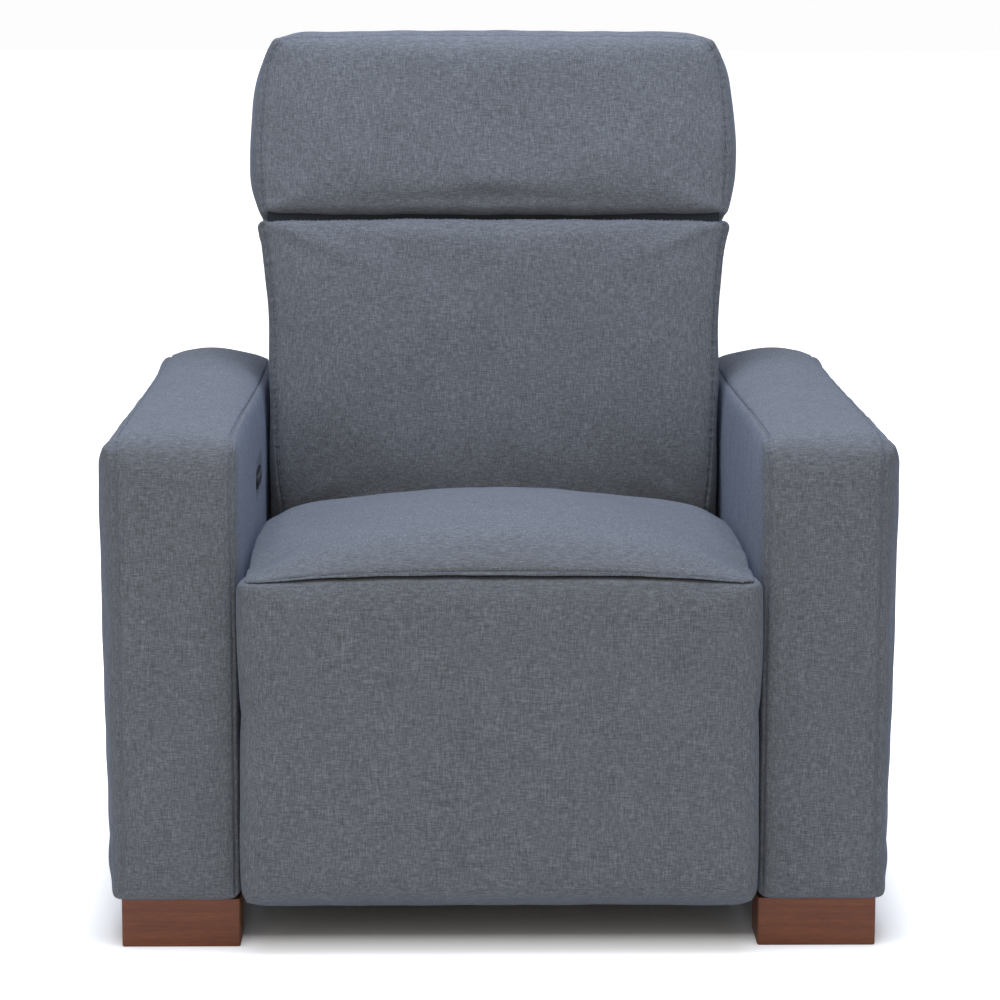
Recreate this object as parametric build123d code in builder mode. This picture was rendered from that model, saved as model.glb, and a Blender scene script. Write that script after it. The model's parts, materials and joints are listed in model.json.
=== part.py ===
# Power recliner: padded arms on block feet, a seat that glides forward on swing links as the
# back reclines, and a footrest carried by a linkage of parallel pairs on each side.
# Frame: +Z up from the floor, the chair faces -Y, +X is the sitter's left. Millimetres.
import os
from math import atan2, cos, degrees, hypot, radians, sin

from build123d import *

os.makedirs("parts", exist_ok=True)

# Whole chair
overall_width = 900
overall_depth = 880
overall_height = 1016
overrun = 5

# Arms and feet
arm_width = 158
arm_height = 593
back_overhang = 50
arm_crown = 12
arm_side_radius = 22
arm_inner_chamfer = 8
arm_top_radius = 14
arm_bottom_radius = 38
arm_rear_radius = 45
arm_wall = 18
foot_height = 56
foot_width = 137
foot_depth = 70
foot_inset = 10
foot_edge = 2.5
post_thickness = 25
board_thickness = 20
mount_rail_bottom = 110
mount_rail_top = 215
mount_rail_thickness = 36
rear_panel_thickness = 16
rear_panel_bottom = 90
rear_panel_top = 375
rear_panel_inset = 14

# Steel plates, in layers from the arm towards the middle of the chair
rail_thickness = 3
link_thickness = 3.5
plate_thickness = 4
swing_gap = 2
plate_gap = 2.5
layer_gap = 3
bar_thickness = 4
pin_radius = 6
shoulder_radius = 9
pin_clearance = 0.05
washer_gap = 0.2
head_thickness = 1
link_half_width = 10
swing_half_width = 15

# Glide of the seat on its swing links
swing_length = 110
swing_rest_angle = 25
swing_pivot_height = 150
front_swing_gap = 5
rear_swing_share = 0.7875
swing_tube_share = 0.27
base_rail_start_share = 0.1375
base_rail_end_share = 0.9375
base_rail_height = 50
tube_radius = 12.5
tube_wall = 2
base_front_tube_share = 0.5375
base_rear_tube_share = 0.725
base_tube_height = 126
crank_length = 70
crank_angle = 220.1
back_lug_radius = 44.4
back_lug_angle = 161.4
back_lug_play = 1.1
back_knee_up = 25
back_knee_depth = 35

# Seat
seat_frame_drop = 102
seat_frame_height = 36
seat_frame_setback = 70
seat_frame_rear_gap = 72
seat_frame_board = 28
seat_plate_drop = 35
seat_plate_reach = 17
seat_tube_share = 0.53125
seat_tube_height = 241
spring_count = 4
spring_turns = 9
spring_wire = 4
spring_width_share = 0.2
seat_side_gap = 9
seat_cushion_setback = 64
seat_front_side_rise = 25
seat_front_crown_rise = 42
seat_middle_side_rise = 9
seat_middle_crown_rise = 51
seat_rear_side_drop = 25
seat_rear_crown_rise = 11
seat_edge_radius = 24
seat_gap = 4

# Front panel, closed: the front pad above the fold line and the footrest pad below it
panel_proud = 30
seam_setback = 2
seam_height = 437
fold_share = 0.588
panel_bottom = 58
panel_wrap = 2
panel_side_gap = 7
panel_pinch = 6
panel_edge_radius = 16
panel_corner_radius = 20
front_pad_thickness = 55
front_pad_board_thickness = 8
footrest_pad_thickness = 70
footrest_board_thickness = 12
board_margin = 26
fold_gap = 1
seam_gap = 0.6

# Footrest linkage, measured from the seam that it swings the panel about
bracket_back = 130
bracket_drop_share = 0.462
bracket_step = 62
bracket_step_angle = 77
guide_back = 103
guide_drop_share = 0.401
drive_spacing = 80
bracket_flange = 22
bracket_flange_length = 150
bracket_flange_rise = 54

# Actuators
actuator_offset = 100
channel_size = 24
channel_wall = 2
screw_radius = 4
nut_length = 36
nut_height = 44
nut_half_width = 24
slide_clearance = 0.3
fork_thickness = 6
fork_reach = 50
gearbox_length = 55
gearbox_height = 56
motor_radius = 22
motor_length = 88
footrest_lever = 50
footrest_swing = 82
footrest_slot_play = 1.4
recline_lever = 65
recline_slot_play = 0.6
lever_thickness = 6
yoke_pin_radius = 5
footrest_channel_length = 225
recline_channel_length = 220

# Back and headrest
seat_depth_share = 0.675
back_lean = 14
hinge_drop = 117
back_thickness = 213
back_cushion_thickness = 80
back_crown = 11
back_bottom = 32
back_low_gap = 8
back_side_gap = 5
back_flare = 10
back_flare_start_share = 0.83
crease_share = 0.454
crease_gap = 3
back_frame_depth = 60
back_frame_board = 25
back_shell_wall = 18
back_shell_bottom = 100
back_bracket_top = 300
back_edge_radius = 26
back_rear_radius = 20
strap_width = 50
strap_thickness = 3
strap_count = 4
headrest_flare = 14
headrest_taper = 2
headrest_corner_radius = 36
headrest_board_thickness = 18
headrest_board_margin = 48
headrest_axis_depth = 18
headrest_board_low = 6
hinge_leaf_width = 27
hinge_leaf_thickness = 4
hinge_leaf_length = 24
hinge_foot_length = 18
hinge_knuckle_radius = 7.5
hinge_pin_radius = 3
hinge_offset_share = 0.65
hinge_play = 0.5

# Control plate on the inner face of the sitter's right arm, and the power inlet
plate_y = -20
plate_height = 480
plate_length = 84
plate_width = 20
plate_depth = 14
plate_proud = 2
plate_radius = 9.5
button_radius = 6
button_length = 8
button_proud = 1
button_travel = 1.5
button_pitch = 18
button_count = 4
inlet_x = -150
inlet_height = 130
inlet_flange_radius = 13
inlet_flange = 2.5
inlet_barrel_radius = 9
inlet_barrel = 22
inlet_bore_radius = 5.5
inlet_bore_depth = 12

# Bolts
bolt_radius = 4
bolt_head_radius = 7
bolt_head = 5
bolt_length = 30

# Places worked out from the sizes above
half_width = overall_width / 2
inner_half = half_width - arm_width
seat_half_width = inner_half - seat_side_gap
panel_half_width = inner_half + panel_wrap
panel_back_half_width = inner_half - panel_side_gap
back_low_half_width = inner_half - back_low_gap
back_arm_half_width = inner_half - back_side_gap
back_high_half_width = inner_half + back_flare
headrest_half_width = inner_half + headrest_flare
headrest_top_half_width = inner_half - headrest_taper
hinge_offset = hinge_offset_share * inner_half
spring_width = spring_width_share * inner_half

panel_front_y = -overall_depth / 2
arm_front_y = panel_front_y + panel_proud
arm_length = overall_depth - panel_proud - back_overhang
arm_rear_y = arm_front_y + arm_length
back_face_y = arm_front_y + seat_depth_share * arm_length
rear_swing_y = arm_front_y + rear_swing_share * arm_length
base_rail_front = arm_front_y + base_rail_start_share * arm_length
base_rail_rear = arm_front_y + base_rail_end_share * arm_length
base_front_tube_y = arm_front_y + base_front_tube_share * arm_length
base_rear_tube_y = arm_front_y + base_rear_tube_share * arm_length
seat_tube_y = arm_front_y + seat_tube_share * arm_length
seat_frame_front = panel_front_y + seat_frame_setback
seat_frame_rear = back_face_y - seat_frame_rear_gap

panel_height = seam_height - panel_bottom
fold_height = panel_bottom + fold_share * panel_height
bracket_drop = bracket_drop_share * panel_height
guide_drop = guide_drop_share * panel_height
seat_frame_bottom = seam_height - seat_frame_drop
seat_frame_top = seat_frame_bottom + seat_frame_height
seat_front_side = seam_height + seat_front_side_rise
seat_front_crown = seam_height + seat_front_crown_rise
seat_middle_side = seam_height + seat_middle_side_rise
seat_middle_crown = seam_height + seat_middle_crown_rise
seat_rear_side = seam_height - seat_rear_side_drop
seat_rear_crown = seam_height + seat_rear_crown_rise
hinge_height = seam_height - hinge_drop
crease_height = arm_height + crease_share * (overall_height - arm_height)
rail_inner = inner_half - rail_thickness
swing_outer = rail_inner - swing_gap
swing_inner = swing_outer - link_thickness
seat_plate_outer = swing_inner - plate_gap
seat_plate_inner = seat_plate_outer - plate_thickness
first_outer = seat_plate_inner - layer_gap
first_inner = first_outer - bar_thickness
second_outer = first_inner - layer_gap
second_inner = second_outer - bar_thickness
third_outer = second_inner - layer_gap
third_inner = third_outer - bar_thickness

lean = radians(back_lean)
hinge = (back_face_y, hinge_height)
back_face = (arm_height - hinge_height) * sin(lean)
back_rear = back_face - back_thickness
back_plane = Plane(origin=(0, back_face_y, hinge_height), x_dir=(1, 0, 0), z_dir=(0, -cos(lean), sin(lean)))


def back_up(height):
    """Distance up the back of a point of its face at this height."""
    return (height - hinge_height - back_face * sin(lean)) / cos(lean)


def on_back(up, forward):
    """Side-view place of a point of the back, from its distances up and forward of the hinge."""
    return (
        back_face_y + up * sin(lean) - forward * cos(lean),
        hinge_height + up * cos(lean) + forward * sin(lean),
    )


crease = back_up(crease_height)
back_flare_start = back_flare_start_share * crease
back_top = crease - crease_gap / 2
headrest_bottom = crease + crease_gap / 2
headrest_top = back_up(overall_height)


def polar(centre, radius, angle):
    """Point at an angle in degrees, counted up from straight ahead (-Y)."""
    turn = radians(angle)
    return (centre[0] - radius * cos(turn), centre[1] + radius * sin(turn))


seam = (panel_front_y + seam_setback, seam_height)
reach = (bracket_back, -bracket_drop)
step = polar((0, 0), bracket_step, bracket_step_angle)


def plus(point, *offsets):
    """A point moved by one or more offsets."""
    return (point[0] + sum(o[0] for o in offsets), point[1] + sum(o[1] for o in offsets))


guide_pivot = plus(seam, (guide_back, -guide_drop))
drive_pivot = plus(guide_pivot, (drive_spacing, 0))
cross_pivot = plus(guide_pivot, reach)
cross_end = plus(drive_pivot, reach)
extension_pivot = plus(cross_pivot, step)
bracket_pivot = plus(seam, reach)
bracket_top_pivot = plus(bracket_pivot, step)
bracket_flange_bottom = panel_bottom + bracket_flange_rise
bracket_flange_top = bracket_flange_bottom + bracket_flange_length
seat_plate_front = guide_pivot[0] - seat_plate_reach

front_swing_y = cross_end[0] + front_swing_gap
swing_top_back = swing_length * sin(radians(swing_rest_angle))
swing_top_rise = swing_length * cos(radians(swing_rest_angle))
front_swing = (front_swing_y, swing_pivot_height)
rear_swing = (rear_swing_y, swing_pivot_height)
front_swing_top = (front_swing_y + swing_top_back, swing_pivot_height + swing_top_rise)
rear_swing_top = (rear_swing_y + swing_top_back, swing_pivot_height + swing_top_rise)
swing_tube = (
    front_swing_y + swing_tube_share * swing_top_back,
    swing_pivot_height + swing_tube_share * swing_top_rise,
)
crank_end = polar(rear_swing_top, crank_length, crank_angle)
back_lug = polar(hinge, back_lug_radius, -back_lug_angle)
seat_plate_bottom = front_swing_top[1] - seat_plate_drop

footrest_back_y = panel_front_y + footrest_pad_thickness
board_back_y = footrest_back_y + footrest_board_thickness
front_pad_back_y = panel_front_y + front_pad_thickness


def half_turn_pin(pivot, lever, swing):
    """Rest place of a lever pin that swings evenly about straight down."""
    return polar(pivot, lever, -90 - swing / 2)


footrest_pin = half_turn_pin(drive_pivot, footrest_lever, footrest_swing)
recline_pin = half_turn_pin(front_swing, recline_lever, -2 * swing_rest_angle)


def finish(part, name):
    """Labels a finished piece and writes its file."""
    part.label = name
    export_step(part, f"parts/{name}.step")


def disc(side, centre, near, far, radius, mode=Mode.ADD):
    """Adds or cuts a round disc across X, at a place in the side view."""
    with BuildSketch(Plane.YZ.offset(side * near)) as profile:
        with Locations(centre):
            Circle(radius)
    extrude(profile.sketch, amount=side * (far - near), mode=mode)


def bar(side, pivots, near, far, half_bar):
    """Adds a flat bar with round ends through a list of pivots."""
    with BuildSketch(Plane.YZ.offset(side * near)) as profile:
        for start, end in zip(pivots[:-1], pivots[1:]):
            run = (end[0] - start[0], end[1] - start[1])
            with Locations(((start[0] + end[0]) / 2, (start[1] + end[1]) / 2)):
                SlotCenterToCenter(hypot(*run), 2 * half_bar, rotation=degrees(atan2(run[1], run[0])))
    extrude(profile.sketch, amount=side * (far - near))


def web_plate(side, pivots, near, far, half_bar):
    """Adds a flat plate drawn tight around round ends at three or more pivots."""
    with BuildSketch(Plane.YZ.offset(side * near)) as profile:
        for pivot in pivots:
            with Locations(pivot):
                Circle(half_bar)
        make_hull(profile.edges())
    extrude(profile.sketch, amount=side * (far - near))


def bore(side, centre, near, far, radius=pin_radius + pin_clearance):
    """Cuts a running bore for a pivot pin."""
    disc(side, centre, near - overrun, far + overrun, radius, Mode.SUBTRACT)


def pin_inward(side, centre, carrier, outer, inner):
    """Adds a shouldered pivot pin that points to the middle, through a bar from outer to inner."""
    disc(side, centre, carrier, outer + washer_gap, shoulder_radius)
    disc(side, centre, outer + washer_gap, inner - washer_gap, pin_radius)
    disc(side, centre, inner - washer_gap, inner - washer_gap - head_thickness, shoulder_radius)


def pin_outward(side, centre, carrier, inner, outer):
    """Adds a shouldered pivot pin that points to the arm, through a bar from inner to outer."""
    disc(side, centre, carrier, inner - washer_gap, shoulder_radius)
    disc(side, centre, inner - washer_gap, outer + washer_gap, pin_radius)
    disc(side, centre, outer + washer_gap, outer + washer_gap + head_thickness, shoulder_radius)


def cross_tube(centre, half_length):
    """Adds a round tube across the chair."""
    with BuildSketch(Plane.YZ.offset(-half_length)) as profile:
        with Locations(centre):
            Circle(tube_radius)
            Circle(tube_radius - tube_wall, mode=Mode.SUBTRACT)
    extrude(profile.sketch, amount=2 * half_length)


def block(x_range, y_range, z_range, mode=Mode.ADD):
    """Adds or cuts a squared board between two values on each axis."""
    middle = tuple((low + high) / 2 for low, high in (x_range, y_range, z_range))
    sizes = [abs(high - low) for low, high in (x_range, y_range, z_range)]
    with Locations(middle):
        Box(*sizes, mode=mode)


def span(side, near, far):
    """A range along X on one side of the chair, low end first."""
    return sorted((side * near, side * far))


# Arms: a wooden frame of posts, boards and a mounting rail inside a padded cover
cavity_inner = inner_half + arm_wall
cavity_outer = half_width - arm_wall
cavity_front = arm_front_y + arm_wall
cavity_rear = arm_rear_y - arm_wall
cavity_top = arm_height - arm_wall
post_front_y = cavity_front + post_thickness
post_rear_y = cavity_rear - post_thickness
bolt_ys = (base_rail_front + base_rail_height, (front_swing_y + rear_swing_y) / 2, base_rail_rear - base_rail_height)

stud_ys = (cavity_front + post_thickness / 2, cavity_rear - post_thickness / 2)


def foot_stud(side, y, mode=Mode.ADD):
    """Adds or cuts the threaded stud that holds a foot to its post."""
    with Locations((side * (inner_half + foot_width / 2), y, foot_height)):
        Cylinder(bolt_radius, 2 * bolt_length, mode=mode)


for side, word in ((1, "left"), (-1, "right")):
    with BuildPart() as arm_frame:
        deep = span(side, cavity_inner, cavity_outer)
        block(deep, (cavity_front, post_front_y), (foot_height, cavity_top))
        block(deep, (post_rear_y, cavity_rear), (foot_height, cavity_top))
        block(deep, (post_front_y, post_rear_y), (cavity_top - board_thickness, cavity_top))
        block(deep, (post_front_y, post_rear_y), (foot_height, foot_height + board_thickness))
        rail_depth = span(side, inner_half, inner_half + mount_rail_thickness)
        block(rail_depth, (post_front_y, post_rear_y), (mount_rail_bottom, mount_rail_top))
        for y in bolt_ys:
            bore(side, (y, swing_pivot_height), inner_half, inner_half + bolt_length, bolt_radius)
        for y in stud_ys:
            foot_stud(side, y, Mode.SUBTRACT)
    finish(arm_frame.part, f"arm_frame_{word}")

    with BuildPart() as arm_cover:
        with BuildSketch(Plane.XZ.offset(-arm_rear_y)):
            with BuildLine():
                inner_x = side * inner_half
                outer_x = side * half_width
                low = (outer_x - side * arm_bottom_radius, foot_height)
                Line((inner_x, foot_height), low)
                RadiusArc(low, (outer_x, foot_height + arm_bottom_radius), -side * arm_bottom_radius)
                high = (outer_x, arm_height - arm_top_radius)
                Line((outer_x, foot_height + arm_bottom_radius), high)
                shoulder = (outer_x - side * arm_top_radius, arm_height)
                RadiusArc(high, shoulder, -side * arm_top_radius)
                ThreePointArc(
                    shoulder,
                    (side * (inner_half + arm_width / 2), arm_height + arm_crown),
                    (inner_x, arm_height),
                )
                Line((inner_x, arm_height), (inner_x, foot_height))
            make_face()
        extrude(amount=arm_length)
        with BuildSketch(Plane.YZ.offset(side * (inner_half - overrun))):
            with BuildLine():
                rear_low = (arm_rear_y, arm_height - arm_rear_radius)
                rear_high = (arm_rear_y - arm_rear_radius, arm_height)
                Line((arm_front_y, foot_height), (arm_rear_y, foot_height))
                Line((arm_rear_y, foot_height), rear_low)
                RadiusArc(rear_low, rear_high, -arm_rear_radius)
                ThreePointArc(
                    rear_high,
                    ((arm_front_y + rear_high[0]) / 2, arm_height + arm_crown),
                    (arm_front_y, arm_height),
                )
                Line((arm_front_y, arm_height), (arm_front_y, foot_height))
            make_face()
        extrude(amount=side * (arm_width + 2 * overrun), mode=Mode.INTERSECT)
        with BuildSketch(Plane.XY.offset(foot_height - overrun)):
            with Locations((side * (inner_half + arm_width / 2), (arm_front_y + arm_rear_y) / 2)):
                Rectangle(arm_width, arm_length)
            fillet(vertices().group_by(Axis.X)[-1 if side > 0 else 0], arm_side_radius)
            chamfer(vertices().group_by(Axis.X)[0 if side > 0 else -1], arm_inner_chamfer)
        extrude(amount=arm_height, mode=Mode.INTERSECT)
        block(
            span(side, cavity_inner, cavity_outer),
            (cavity_front, cavity_rear),
            (foot_height - overrun, cavity_top),
            Mode.SUBTRACT,
        )
        block(
            span(side, inner_half - overrun, cavity_inner + overrun),
            (post_front_y, post_rear_y),
            (mount_rail_bottom, mount_rail_top),
            Mode.SUBTRACT,
        )
        if side < 0:
            with BuildSketch(Plane.YZ.offset(-inner_half + plate_proud)):
                with Locations((plate_y, plate_height)):
                    RectangleRounded(plate_length, plate_width, plate_radius)
            extrude(amount=-plate_depth, mode=Mode.SUBTRACT)
    finish(arm_cover.part, f"arm_cover_{word}")

    for end, y in (("front", arm_front_y + foot_inset), ("rear", arm_rear_y - foot_inset - foot_depth)):
        with BuildPart() as foot:
            block(span(side, inner_half + foot_edge, inner_half + foot_width), (y, y + foot_depth), (0, foot_height))
            fillet(foot.edges().filter_by(Axis.Z), foot_edge)
            chamfer(foot.edges().group_by(Axis.Z)[0], foot_edge / 2)
            foot_stud(side, stud_ys[0 if end == "front" else 1], Mode.SUBTRACT)
        finish(foot.part, f"foot_{end}_{word}")

with BuildPart() as rear_panel:
    panel_rear = arm_rear_y - rear_panel_inset
    block(
        (-inner_half, inner_half),
        (panel_rear - rear_panel_thickness, panel_rear),
        (rear_panel_bottom, rear_panel_top),
    )
    fillet(rear_panel.edges().filter_by(Axis.X), foot_edge)
    with BuildSketch(Plane.XZ.offset(-panel_rear - overrun)):
        with Locations((inlet_x, inlet_height)):
            Circle(inlet_barrel_radius)
    extrude(amount=rear_panel_thickness + 2 * overrun, mode=Mode.SUBTRACT)
finish(rear_panel.part, "rear_panel")

with BuildPart() as power_inlet:
    with BuildSketch(Plane.XZ.offset(-panel_rear - inlet_flange)):
        with Locations((inlet_x, inlet_height)):
            Circle(inlet_flange_radius)
    extrude(amount=inlet_flange)
    with BuildSketch(Plane.XZ.offset(-panel_rear)):
        with Locations((inlet_x, inlet_height)):
            Circle(inlet_barrel_radius)
    extrude(amount=inlet_barrel)
    with BuildSketch(Plane.XZ.offset(-panel_rear - inlet_flange)):
        with Locations((inlet_x, inlet_height)):
            Circle(inlet_bore_radius)
    extrude(amount=inlet_bore_depth, mode=Mode.SUBTRACT)
finish(power_inlet.part, "power_inlet")

# Bolts: the base rails to the arms' mounting rails, and the feet to the posts
with BuildPart() as frame_bolts:
    for side in (1, -1):
        for y in bolt_ys:
            place = (y, swing_pivot_height)
            disc(side, place, rail_inner - bolt_head / 5, rail_inner, bolt_head_radius)
            disc(side, place, rail_inner, inner_half + bolt_length, bolt_radius)
        for y in stud_ys:
            foot_stud(side, y)
finish(frame_bolts.part, "frame_bolts")

# Base of the mechanism: two rails and two cross tubes
for side, word in ((1, "left"), (-1, "right")):
    with BuildPart() as base_rail:
        half_rail = base_rail_height / 2
        ends = (
            (base_rail_front + half_rail, swing_pivot_height),
            (base_rail_rear - half_rail, swing_pivot_height),
        )
        bar(side, ends, rail_inner, inner_half, half_rail)
        for y in bolt_ys:
            bore(side, (y, swing_pivot_height), rail_inner, inner_half, bolt_radius)
        for pivot in (front_swing, rear_swing):
            pin_inward(side, pivot, rail_inner, swing_outer, swing_inner)
    finish(base_rail.part, f"base_rail_{word}")

for name, y in (("base_front_tube", base_front_tube_y), ("base_rear_tube", base_rear_tube_y)):
    with BuildPart() as base_tube:
        cross_tube((y, base_tube_height), rail_inner)
    finish(base_tube.part, name)

# Swing links, which carry the seat
with BuildPart() as front_swing_links:
    for side in (1, -1):
        bar(side, (front_swing, front_swing_top), swing_inner, swing_outer, swing_half_width)
        for pivot in (front_swing, front_swing_top):
            bore(side, pivot, swing_inner, swing_outer)
finish(front_swing_links.part, "front_swing_links")

with BuildPart() as swing_cross_tube:
    cross_tube(swing_tube, swing_inner)
    lever_near = actuator_offset - nut_half_width - layer_gap
    lever_far = lever_near - lever_thickness
    bar(-1, (swing_tube, recline_pin), lever_far, lever_near, tube_radius)
    with BuildSketch(Plane.YZ.offset(-lever_near)):
        with Locations(swing_tube):
            Circle(tube_radius - tube_wall)
    extrude(amount=lever_thickness, mode=Mode.SUBTRACT)
    fork_far = lever_near + layer_gap + fork_thickness
    disc(-1, recline_pin, lever_near, fork_far + washer_gap, yoke_pin_radius)
    disc(-1, recline_pin, fork_far + washer_gap, fork_far + washer_gap + head_thickness, shoulder_radius)
finish(swing_cross_tube.part, "swing_cross_tube")

with BuildPart() as rear_swing_links:
    for side in (1, -1):
        bar(side, (rear_swing, rear_swing_top, crank_end), swing_inner, swing_outer, swing_half_width)
        for pivot in (rear_swing, rear_swing_top):
            bore(side, pivot, swing_inner, swing_outer)
        pin_inward(side, crank_end, swing_inner, first_outer, first_inner)
finish(rear_swing_links.part, "rear_swing_links")

with BuildPart() as back_push_links:
    for side in (1, -1):
        bar(side, (crank_end, back_lug), first_inner, first_outer, link_half_width)
        bore(side, crank_end, first_inner, first_outer)
        bore(side, back_lug, first_inner, first_outer, pin_radius + back_lug_play)
finish(back_push_links.part, "back_push_links")

# Seat: side plates with the pivot pins of the linkages, frame, springs and cushion
for side, word in ((1, "left"), (-1, "right")):
    with BuildPart() as seat_plate:
        with BuildSketch(Plane.YZ.offset(side * seat_plate_inner)):
            with BuildLine():
                plate_top = seat_frame_top - board_thickness / 4
                Polyline(
                    (seat_plate_front, guide_pivot[1] - 2 * link_half_width),
                    (seat_plate_front + 2 * link_half_width, seat_plate_bottom + 2 * link_half_width),
                    (front_swing_top[0] - 3 * swing_half_width, seat_plate_bottom),
                    (rear_swing_top[0] + swing_half_width, seat_plate_bottom),
                    (rear_swing_top[0] + swing_half_width, front_swing_top[1] + swing_half_width),
                    (hinge[0] + 2 * swing_half_width, hinge[1]),
                    (hinge[0] + swing_half_width, hinge[1] + swing_half_width),
                    (hinge[0] - swing_half_width, hinge[1] + swing_half_width),
                    (seat_frame_rear - seat_frame_board / 2, plate_top),
                    (seat_plate_front, plate_top),
                    close=True,
                )
            make_face()
            fillet(vertices(), link_half_width / 2)
        extrude(amount=side * plate_thickness)
        for pivot in (guide_pivot, drive_pivot):
            pin_inward(side, pivot, seat_plate_inner, first_outer, first_inner)
        for pivot in (front_swing_top, rear_swing_top):
            pin_outward(side, pivot, seat_plate_outer, swing_inner, swing_outer)
        pin_inward(side, hinge, seat_plate_inner, second_outer, second_inner)
    finish(seat_plate.part, f"seat_plate_{word}")

with BuildPart() as seat_cross_tube:
    cross_tube((seat_tube_y, seat_tube_height), seat_plate_inner)
finish(seat_cross_tube.part, "seat_cross_tube")

with BuildPart() as seat_frame:
    frame_z = (seat_frame_bottom, seat_frame_top)
    block((-seat_plate_inner, seat_plate_inner), (seat_frame_front, seat_frame_rear), frame_z)
    inner_x = seat_plate_inner - seat_frame_board
    inner_y = (seat_frame_front + seat_frame_board, seat_frame_rear - seat_frame_board)
    block((-inner_x, inner_x), inner_y, frame_z, Mode.SUBTRACT)
finish(seat_frame.part, "seat_frame")

with BuildPart() as seat_springs:
    spring_start = seat_frame_front + seat_frame_board / 2
    spring_end = seat_frame_rear - seat_frame_board / 2
    turn_pitch = (spring_end - spring_start) / spring_turns
    half_run = (spring_width - turn_pitch) / 2
    for index in range(spring_count):
        spring_x = (index - (spring_count - 1) / 2) * 2 * inner_x / spring_count
        with BuildSketch(Plane.XY.offset(seat_frame_top)):
            with BuildLine():
                for turn in range(spring_turns):
                    way = 1 if turn % 2 else -1
                    start = (spring_x + way * half_run, spring_start + turn * turn_pitch)
                    finish_point = (start[0], start[1] + turn_pitch)
                    edge = (start[0] + way * turn_pitch / 2, start[1] + turn_pitch / 2)
                    Line((spring_x - way * half_run, start[1]), start)
                    ThreePointArc(start, edge, finish_point)
                Line(finish_point, (spring_x - way * half_run, finish_point[1]))
            trace(line_width=spring_wire)
        extrude(amount=spring_wire)
finish(seat_springs.part, "seat_springs")

cushion_bottom = seat_frame_top + spring_wire
cushion_rear = back_face_y - (arm_height - cushion_bottom) * sin(lean) / cos(lean) - back_crown - seat_gap
with BuildPart() as seat_cushion:
    middle_y = (panel_front_y + cushion_rear) / 2
    rear_lean = (seat_rear_crown - cushion_bottom) * sin(lean) / cos(lean)
    sections = (
        (panel_front_y + seam_setback, seat_front_side, seat_front_crown, seat_half_width),
        (middle_y, seat_middle_side, seat_middle_crown, seat_half_width + seam_setback),
        (cushion_rear + rear_lean, seat_rear_side, seat_rear_crown, seat_half_width - seam_setback),
    )
    for section_y, side_height, crown_height, section_half in sections:
        with BuildSketch(Plane.XZ.offset(-section_y)):
            with BuildLine():
                Polyline(
                    (-section_half, side_height),
                    (-section_half, cushion_bottom),
                    (section_half, cushion_bottom),
                    (section_half, side_height),
                )
                ThreePointArc((section_half, side_height), (0, crown_height), (-section_half, side_height))
            make_face()
    loft()
    front_edge = seat_cushion.edges().group_by(Axis.Y)[0].sort_by(Axis.Z)[-1]
    fillet(front_edge, seat_edge_radius)
    block(
        (-half_width, half_width),
        (panel_front_y - overrun, panel_front_y + seat_cushion_setback),
        (cushion_bottom - overrun, seam_height + seam_gap),
        Mode.SUBTRACT,
    )
    with BuildSketch(Plane.YZ.offset(-half_width)):
        with BuildLine():
            slope = (seat_front_crown - cushion_bottom) * sin(lean) / cos(lean)
            Polyline(
                (cushion_rear, cushion_bottom),
                (cushion_rear + slope, seat_front_crown),
                (cushion_rear + 2 * slope + overrun, seat_front_crown),
                (cushion_rear + 2 * slope + overrun, cushion_bottom),
                close=True,
            )
        make_face()
    extrude(amount=overall_width, mode=Mode.SUBTRACT)
finish(seat_cushion.part, "seat_cushion")

# Footrest linkage: on each side two equal pivot links and two equal extension links
with BuildPart() as drive_tube:
    cross_tube(drive_pivot, first_inner)
    lever_near = actuator_offset - nut_half_width - layer_gap
    bar(1, (drive_pivot, footrest_pin), lever_near - lever_thickness, lever_near, tube_radius)
    with BuildSketch(Plane.YZ.offset(lever_near)):
        with Locations(drive_pivot):
            Circle(tube_radius - tube_wall)
    extrude(amount=-lever_thickness, mode=Mode.SUBTRACT)
    fork_far = lever_near + layer_gap + fork_thickness
    disc(1, footrest_pin, lever_near, fork_far + washer_gap, yoke_pin_radius)
    disc(1, footrest_pin, fork_far + washer_gap, fork_far + washer_gap + head_thickness, shoulder_radius)
finish(drive_tube.part, "footrest_drive_tube")

for side, word in ((1, "left"), (-1, "right")):
    with BuildPart() as drive_link:
        bar(side, (drive_pivot, cross_end), first_inner, first_outer, link_half_width)
        bore(side, drive_pivot, first_inner, first_outer)
        pin_inward(side, cross_end, first_inner, second_outer, second_inner)
    finish(drive_link.part, f"footrest_drive_link_{word}")

    with BuildPart() as cross_link:
        bar(side, (cross_end, cross_pivot, bracket_pivot), second_inner, second_outer, link_half_width)
        for pivot in (cross_end, cross_pivot):
            bore(side, pivot, second_inner, second_outer)
        pin_inward(side, bracket_pivot, second_inner, third_outer, third_inner)
    finish(cross_link.part, f"footrest_cross_link_{word}")

    with BuildPart() as bracket:
        with BuildSketch(Plane.YZ.offset(side * third_inner)):
            for pivot in (bracket_pivot, bracket_top_pivot):
                with Locations(pivot):
                    Circle(link_half_width)
            flange_line = (board_back_y, board_back_y + bar_thickness)
            with BuildLine():
                Polyline(
                    (board_back_y, bracket_flange_bottom),
                    (flange_line[1], bracket_flange_bottom),
                    plus(bracket_pivot, (link_half_width, 0)),
                    plus(bracket_top_pivot, (link_half_width, 0)),
                    plus(bracket_top_pivot, (-link_half_width / 2, 0)),
                    (board_back_y, bracket_flange_top),
                    close=True,
                )
            make_face()
        extrude(amount=side * bar_thickness)
        block(
            span(side, third_inner - bracket_flange, third_outer),
            flange_line,
            (bracket_flange_bottom, bracket_flange_top),
        )
        for pivot in (bracket_pivot, bracket_top_pivot):
            bore(side, pivot, third_inner, third_outer)
    finish(bracket.part, f"footrest_bracket_{word}")

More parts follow.
